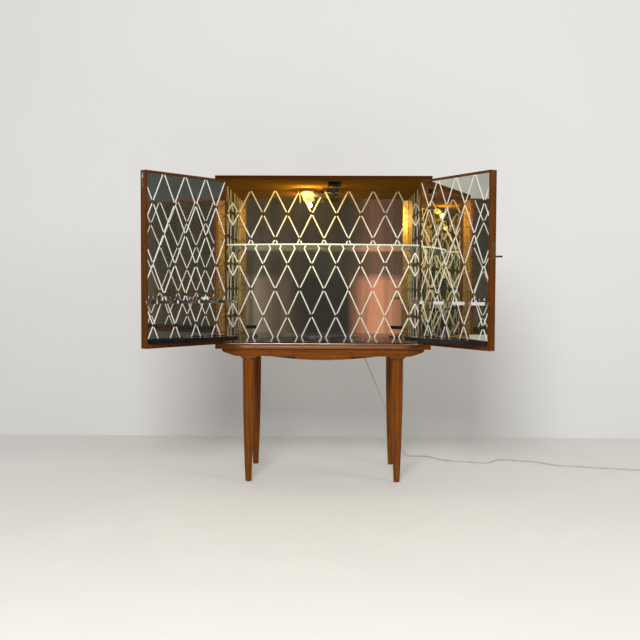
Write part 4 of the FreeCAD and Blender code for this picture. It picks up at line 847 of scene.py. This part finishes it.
class CABINET_OT_woodwork(Operator):
    """Give every board, rail, bead and leg its wood"""
    bl_idname = "cabinet.woodwork"
    bl_label = "Woodwork"

    def execute(self, context):
        wood = context.scene.cabinet_wood
        light, dark = tuple(wood.light), tuple(wood.dark)
        # The doors' wood, painted darker as shade on their edges
        deep = tuple(DOOR_SHADED_LIGHT * part for part in light)
        shaded_dark = tuple(DOOR_SHADED_DARK * part for part in dark)
        slide, nose, top = (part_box(name) for name in ("slide_front", "bottom_panel", "top_panel"))
        dress(wood_finish("teak_upright", ALONG_Z, light, dark), "front_left_leg", "front_right_leg",
              "rear_left_leg", "rear_right_leg", "left_side_panel", "right_side_panel")
        dress(wood_finish("shaded_teak_doors", ALONG_Z, deep, shaded_dark, 0.4), "left_door_panel", "right_door_panel",
              "left_door_bead", "right_door_bead")
        dress(wood_finish("teak_rear_rail", ALONG_X, light, dark), "rear_rail")
        dress(carved_finish("teak_rails", light, dark, slide[1].x, nose[0].z, slide[0].y),
              "left_front_bracket", "right_front_bracket", "slide_front")
        dress(wood_finish("teak_side_rails", ALONG_Y, light, dark), "left_side_rail", "right_side_rail")
        dress(top_finish(*TOP_WOOD, *CEILING_LAMPLIT_WOOD, top[0].z), "top_panel")
        dress(wood_finish("polished_nose", ALONG_X, light, dark, 0.3, 0.12, 0.35), "bottom_panel")
        dress(wood_finish("back_ply", ALONG_X, *PLY, 0.3, -0.1), "back_panel", "slide_board")
        dress(wood_finish("beech_battens", ALONG_Y, *BEECH, 0.3, -0.08), "slide_runners", "slide_stops")
        return {"FINISHED"}


class CABINET_OT_mirrors(Operator):
    """Silver the mirrors of the case and of both doors"""
    bl_idname = "cabinet.mirrors"
    bl_label = "Mirrors"

    def execute(self, context):
        dress(mirror_finish(), "back_mirror", "left_side_mirror", "right_side_mirror", "left_door_mirror",
              "right_door_mirror")
        return {"FINISHED"}


# The levels of the rows of crossings, and whether a row is half a step along
CASE_ROWS = ((1.193, False), (1.090, True), (0.983, False), (0.872, True), (0.764, False), (0.648, True),
             (0.5375, False))
DOOR_ROWS = ((1.188, True), (1.078, False), (0.968, True), (0.857, False), (0.747, True), (0.636, False),
             (0.526, True))

# The face of a door's mirror: its depth from the hinge axis, its near and far end, and the lattice's start
DOOR_MIRROR_FACE = 0.0293
DOOR_MIRROR_SPAN = (0.0113, 0.3872)
DOOR_LATTICE_START = 0.058

# How far the strokes keep from a corner and from a rim, and how much of their thickness stands proud
CORNER_MARGIN = 0.0006
RIM_MARGIN = 0.0015
PROUD_SHARE = 0.4

# Crossings are neighbours when they are half a step apart, give or take this share of a step
STEP_SLACK = 0.1
# A stroke is left out when less than this share of it lies on its mirror
LEAST_SHARE = 0.02
# How far a stroke is most likely to run past its end
LIKELY_SLIP = 0.001


def crossings(rows, pitch, start, low, high):
    """Rows of crossings: every other row is half a step along."""
    placed = []
    for level, half in rows:
        first = start + (pitch / 2 if half else 0.0)
        count = int((low - first) / pitch) - 2
        row = []
        while first + count * pitch < high + pitch:
            row.append(first + count * pitch)
            count += 1
        placed.append((level, row))
    return placed


def clipped(start, end, window):
    """The part of a stroke that lies in a window, or nothing."""
    low_s, high_s, low_z, high_z = window
    first, last = 0.0, 1.0
    for place, far, low, high in ((start[0], end[0], low_s, high_s), (start[1], end[1], low_z, high_z)):
        run = far - place
        near_share, far_share = sorted(((low - place) / run, (high - place) / run))
        first, last = max(first, near_share), min(last, far_share)
    if last - first < LEAST_SHARE:
        return None
    return [tuple(place + (far - place) * share for place, far in zip(start, end)) for share in (first, last)]


def strokes_in(rows, pitch, start, window, settings, slips):
    """The slanting strokes between the crossings of neighbouring rows, kept more or less short of each."""
    found = []
    gap, most = settings.crossing_gap, settings.overshoot
    placed = crossings(rows, pitch, start, window[0], window[1])
    for (upper, tops), (lower, feet) in zip(placed, placed[1:]):
        for top in tops:
            for foot in feet:
                if abs(abs(top - foot) - pitch / 2) > pitch * STEP_SLACK:
                    continue
                slope = (foot - top) / (upper - lower)
                head = gap - slips.triangular(0.0, most, LIKELY_SLIP)
                heel = gap - slips.triangular(0.0, most, LIKELY_SLIP)
                stroke = clipped((top + slope * head, upper - head),
                                 (foot - slope * heel, lower + heel), window)
                if stroke:
                    found.append(stroke)
    return found


def stroke_tree():
    """Lay a flat bar along each stroke: its middle, turn and length come with its point."""
    tree = bpy.data.node_groups.new("Lattice strokes", "GeometryNodeTree")
    for label, kind, way in (("Geometry", "NodeSocketGeometry", "INPUT"),
                             ("Width", "NodeSocketFloat", "INPUT"), ("Depth", "NodeSocketFloat", "INPUT"),
                             ("Finish", "NodeSocketMaterial", "INPUT"),
                             ("Geometry", "NodeSocketGeometry", "OUTPUT")):
        tree.interface.new_socket(label, in_out=way, socket_type=kind)
    given = tree.nodes.new("NodeGroupInput")
    out = tree.nodes.new("NodeGroupOutput")
    turn = node(tree, "GeometryNodeInputNamedAttribute", {"Name": "turn"}, data_type="FLOAT_VECTOR")
    reach = node(tree, "GeometryNodeInputNamedAttribute", {"Name": "reach"}, data_type="FLOAT")
    section = node(tree, "ShaderNodeCombineXYZ", {"X": given.outputs["Width"],
                                                  "Y": given.outputs["Depth"], "Z": 1.0})
    bar = node(tree, "GeometryNodeMeshCube", {"Size": section.outputs["Vector"]})
    stretch = node(tree, "ShaderNodeCombineXYZ", {"X": 1.0, "Y": 1.0, "Z": reach.outputs["Attribute"]})
    laid = node(tree, "GeometryNodeInstanceOnPoints", {
        "Points": given.outputs["Geometry"], "Instance": bar.outputs["Mesh"],
        "Rotation": turn.outputs["Attribute"], "Scale": stretch.outputs["Vector"]})
    real = node(tree, "GeometryNodeRealizeInstances", {"Geometry": laid.outputs["Instances"]})
    done = node(tree, "GeometryNodeSetMaterial", {"Geometry": real.outputs["Geometry"],
                                                  "Material": given.outputs["Finish"]})
    tree.links.new(done.outputs["Geometry"], out.inputs["Geometry"])
    return tree


def set_input(modifier, label, value):
    """Set a modifier's input by the identifier of its socket."""
    for item in modifier.node_group.interface.items_tree:
        if item.name == label and item.in_out == "INPUT":
            modifier[item.identifier] = value


class CABINET_OT_lattice(Operator):
    """Grind the diamond lattice into the five mirrors"""
    bl_idname = "cabinet.lattice"
    bl_label = "Lattice"

    def execute(self, context):
        settings = context.scene.cabinet_lattice
        finish = stroke_finish()
        tree = stroke_tree()
        wide, fine, deep = settings.stroke_width, settings.door_stroke_width, settings.stroke_depth
        self.lay(context, "case_lattice", "case", self.case_bars(settings), tree, finish, wide, deep)
        for word in DOORS:
            self.lay(context, word + "_door_lattice", word + "_door", self.door_bars(settings, word), tree,
                     finish, fine, deep)
        return {"FINISHED"}

    def case_bars(self, settings):
        """Strokes on the back mirror, and on the side mirrors as its lattice turns the corners."""
        bars = []
        slips = random.Random("case")
        proud = settings.stroke_depth * PROUD_SHARE
        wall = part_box("left_side_mirror")[1].x
        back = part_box("back_mirror")[0].y
        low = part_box("inner_floor")[1].z + CORNER_MARGIN
        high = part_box("back_mirror")[1].z - RIM_MARGIN
        edge = -wall - CORNER_MARGIN
        facing = Vector((0.0, -1.0, 0.0))
        window = (-edge, edge, low, high)
        for start, end in strokes_in(CASE_ROWS, settings.pitch, 0.0, window, settings, slips):
            bars.append((*(Vector((across, back - proud, level)) for across, level in (start, end)), facing))
        for word, side in (("left", -1.0), ("right", 1.0)):
            front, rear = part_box(word + "_side_mirror")[0].y + RIM_MARGIN, back - CORNER_MARGIN
            window = (CORNER_MARGIN, rear - front, low, high)
            facing = Vector((-side, 0.0, 0.0))
            across = side * (-wall - proud)
            for start, end in strokes_in(CASE_ROWS, settings.pitch, edge, window, settings, slips):
                bars.append((*(Vector((across, back - deep, level)) for deep, level in (start, end)), facing))
        return bars

    def door_bars(self, settings, word):
        """Strokes on the mirror of one door, measured from its hinge axis."""
        bars = []
        low, high = (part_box(word + "_door_mirror")[end].z for end in (0, 1))
        deep = DOOR_MIRROR_FACE + settings.stroke_depth * PROUD_SHARE
        window = (*DOOR_MIRROR_SPAN, low + RIM_MARGIN, high - RIM_MARGIN)
        inward = door_point(word, 0.0, 1.0, 0.0) - door_point(word, 0.0, 0.0, 0.0)
        slips = random.Random(word)
        for start, end in strokes_in(DOOR_ROWS, settings.door_pitch, DOOR_LATTICE_START, window, settings,
                                     slips):
            bars.append((*(door_point(word, along, deep, level) for along, level in (start, end)), inward))
        return bars

    def lay(self, context, name, body, bars, tree, finish, width, depth):
        """Lay the bars of one body and make them a plain mesh."""
        mesh = bpy.data.meshes.new(name)
        mesh.from_pydata([(start + end) / 2 for start, end, facing in bars], [], [])
        turns = []
        for start, end, facing in bars:
            along = (end - start).normalized()
            turns.extend(Matrix((facing.cross(along), facing, along)).transposed().to_euler())
        mesh.attributes.new("turn", "FLOAT_VECTOR", "POINT").data.foreach_set("vector", turns)
        reaches = [(end - start).length for start, end, facing in bars]
        mesh.attributes.new("reach", "FLOAT", "POINT").data.foreach_set("value", reaches)
        carrier = bpy.data.objects.new(name, mesh)
        context.scene.collection.objects.link(carrier)
        modifier = carrier.modifiers.new("strokes", "NODES")
        modifier.node_group = tree
        set_input(modifier, "Width", width)
        set_input(modifier, "Depth", depth)
        set_input(modifier, "Finish", finish)
        strokes = settled(carrier, name)
        if len(strokes.polygons) != 6 * len(bars):
            raise RuntimeError("%s has %d faces for %d strokes" % (name, len(strokes.polygons), len(bars)))
        new_object(name, strokes, body, "mirror_glass")


# The shelf's mesh: doubles and flat edges are merged below these, and sharper rims get a chamfer
WELD = 0.00001
FLAT_ANGLE = 0.02
RIM_ANGLE = 1.0
CHAMFER = 0.0007
# A face that looks this much up or down is plate, and any other is ground edge
PLATE_NORMAL = 0.99


class CABINET_OT_glass_shelf(Operator):
    """Polish the glass shelf and grind its edges"""
    bl_idname = "cabinet.glass_shelf"
    bl_label = "Glass shelf"

    def execute(self, context):
        mesh = bmesh.new()
        mesh.from_mesh(bpy.data.objects["glass_shelf"].data)
        bmesh.ops.remove_doubles(mesh, verts=mesh.verts, dist=WELD)
        bmesh.ops.dissolve_limit(mesh, angle_limit=FLAT_ANGLE, verts=mesh.verts, edges=mesh.edges)
        rims = [edge for edge in mesh.edges
                if len(edge.link_faces) == 2 and edge.calc_face_angle() > RIM_ANGLE]
        bmesh.ops.bevel(mesh, geom=rims, offset=CHAMFER, segments=2, profile=0.5, affect="EDGES")
        for face in mesh.faces:
            face.material_index = 0 if abs(face.normal.z) > PLATE_NORMAL else 1
        data = bpy.data.meshes.new("shelf_plate")
        mesh.to_mesh(data)
        mesh.free()
        shelf = new_object("shelf_plate", data, "case", "clear_glass", clear_glass_finish(),
                           ground_edge_finish())
        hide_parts("glass_shelf")
        return {"FINISHED"}


class CABINET_OT_lacquerwork(Operator):
    """Lacquer the inner floor, the door trays and the catch block"""
    bl_idname = "cabinet.lacquerwork"
    bl_label = "Lacquerwork"

    def execute(self, context):
        dress(lacquer_finish(), "inner_floor", "left_door_tray", "right_door_tray", "door_catch_block")
        return {"FINISHED"}


class CABINET_OT_metalwork(Operator):
    """Finish the hinges, screws, bolts, lock, key and bottle rails"""
    bl_idname = "cabinet.metalwork"
    bl_label = "Metalwork"

    def execute(self, context):
        dress(metal_finish("worn_brass", (0.66, 0.44, 0.17), (0.38, 0.23, 0.085), 0.22, 0.48),
              "left_hinge_case_leaf", "right_hinge_case_leaf", "left_hinge_door_leaf",
              "right_hinge_door_leaf", "hinge_pins", "case_screws", "left_door_screws", "right_door_screws",
              "key_escutcheon", "lamp_bracket")
        dress(metal_finish("chrome_plate", (0.80, 0.80, 0.79), (0.62, 0.61, 0.58), 0.02, 0.12, 90.0),
              "left_bottle_rail", "right_bottle_rail", "flush_bolt_slide", "lock_case", "lock_bolt")
        dress(metal_finish("tarnished_brass", (0.20, 0.115, 0.045), (0.10, 0.056, 0.024), 0.40, 0.60),
              "flush_bolt_plate", "lock_face_plate")
        dress(metal_finish("blackened_steel", (0.045, 0.043, 0.042), (0.11, 0.10, 0.095), 0.34, 0.55),
              "key", "shelf_supports")
        return {"FINISHED"}


# The light stands this far to the side of, before and below the bulb, and is a share of its strength
GLOW_OFFSET = (0.006, 0.014, 0.012)
GLOW_RADIUS = 0.010
GLOW_DIVISOR = 13


class CABINET_OT_lamp(Operator):
    """Light the lamp and finish its socket, switch and lead"""
    bl_idname = "cabinet.lamp"
    bl_label = "Lamp"

    def execute(self, context):
        lamp = context.scene.cabinet_lamp
        dress(bulb_finish(tuple(lamp.glow)), "lamp_bulb")
        dress(plastic_finish("black_moulding", (0.014, 0.013, 0.013), (0.04, 0.038, 0.035)), "lamp_socket",
              "switch_box")
        dress(plastic_finish("rocker_moulding", (0.010, 0.010, 0.010), (0.03, 0.028, 0.027), 0.2, 0.35),
              "switch_rocker")
        dress(plastic_finish("lead_sheath", (0.50, 0.45, 0.36), (0.36, 0.32, 0.25)), "inner_lead")
        low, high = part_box("lamp_bulb")
        data = bpy.data.lights.new("lamp_glow", "POINT")
        data.energy = lamp.strength / GLOW_DIVISOR
        data.color = lamp.glow
        data.shadow_soft_size = GLOW_RADIUS
        glow = bpy.data.objects.new("lamp_glow", data)
        aside, before, below = GLOW_OFFSET
        glow.location = ((low.x + high.x) / 2 - aside, low.y - before, low.z - below)
        context.scene.collection.objects.link(glow)
        return {"FINISHED"}


# Sidebar

OPERATORS = (CABINET_OT_camera, CABINET_OT_power_cord, CABINET_OT_woodwork, CABINET_OT_mirrors,
             CABINET_OT_lattice, CABINET_OT_glass_shelf, CABINET_OT_lacquerwork, CABINET_OT_metalwork,
             CABINET_OT_lamp, CABINET_OT_stage)


class CABINET_PT_sidebar(Panel):
    """One button for each group of pieces"""
    bl_idname = "CABINET_PT_sidebar"
    bl_label = "Bar Cabinet"
    bl_space_type = "VIEW_3D"
    bl_region_type = "UI"
    bl_category = "Cabinet"

    def draw(self, context):
        for operator in OPERATORS:
            self.layout.operator(operator.bl_idname)


CLASSES = (*SETTINGS.values(), *OPERATORS, CABINET_PT_sidebar)


def register():
    for item in CLASSES:
        bpy.utils.register_class(item)
    for name, item in SETTINGS.items():
        setattr(bpy.types.Scene, name, PointerProperty(type=item))


def unregister():
    for name in SETTINGS:
        delattr(bpy.types.Scene, name)
    for item in reversed(CLASSES):
        bpy.utils.unregister_class(item)


def main():
    """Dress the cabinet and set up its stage."""
    register()
    for name in ("Cube", "Light", "Camera"):
        if name in bpy.data.objects:
            bpy.data.objects.remove(bpy.data.objects[name], do_unlink=True)
    bpy.ops.cabinet.camera()
    bpy.ops.cabinet.power_cord()
    bpy.ops.cabinet.woodwork()
    bpy.ops.cabinet.mirrors()
    bpy.ops.cabinet.lattice()
    bpy.ops.cabinet.glass_shelf()
    bpy.ops.cabinet.lacquerwork()
    bpy.ops.cabinet.metalwork()
    bpy.ops.cabinet.lamp()
    bpy.ops.cabinet.stage()


if __name__ == "__main__":
    main()
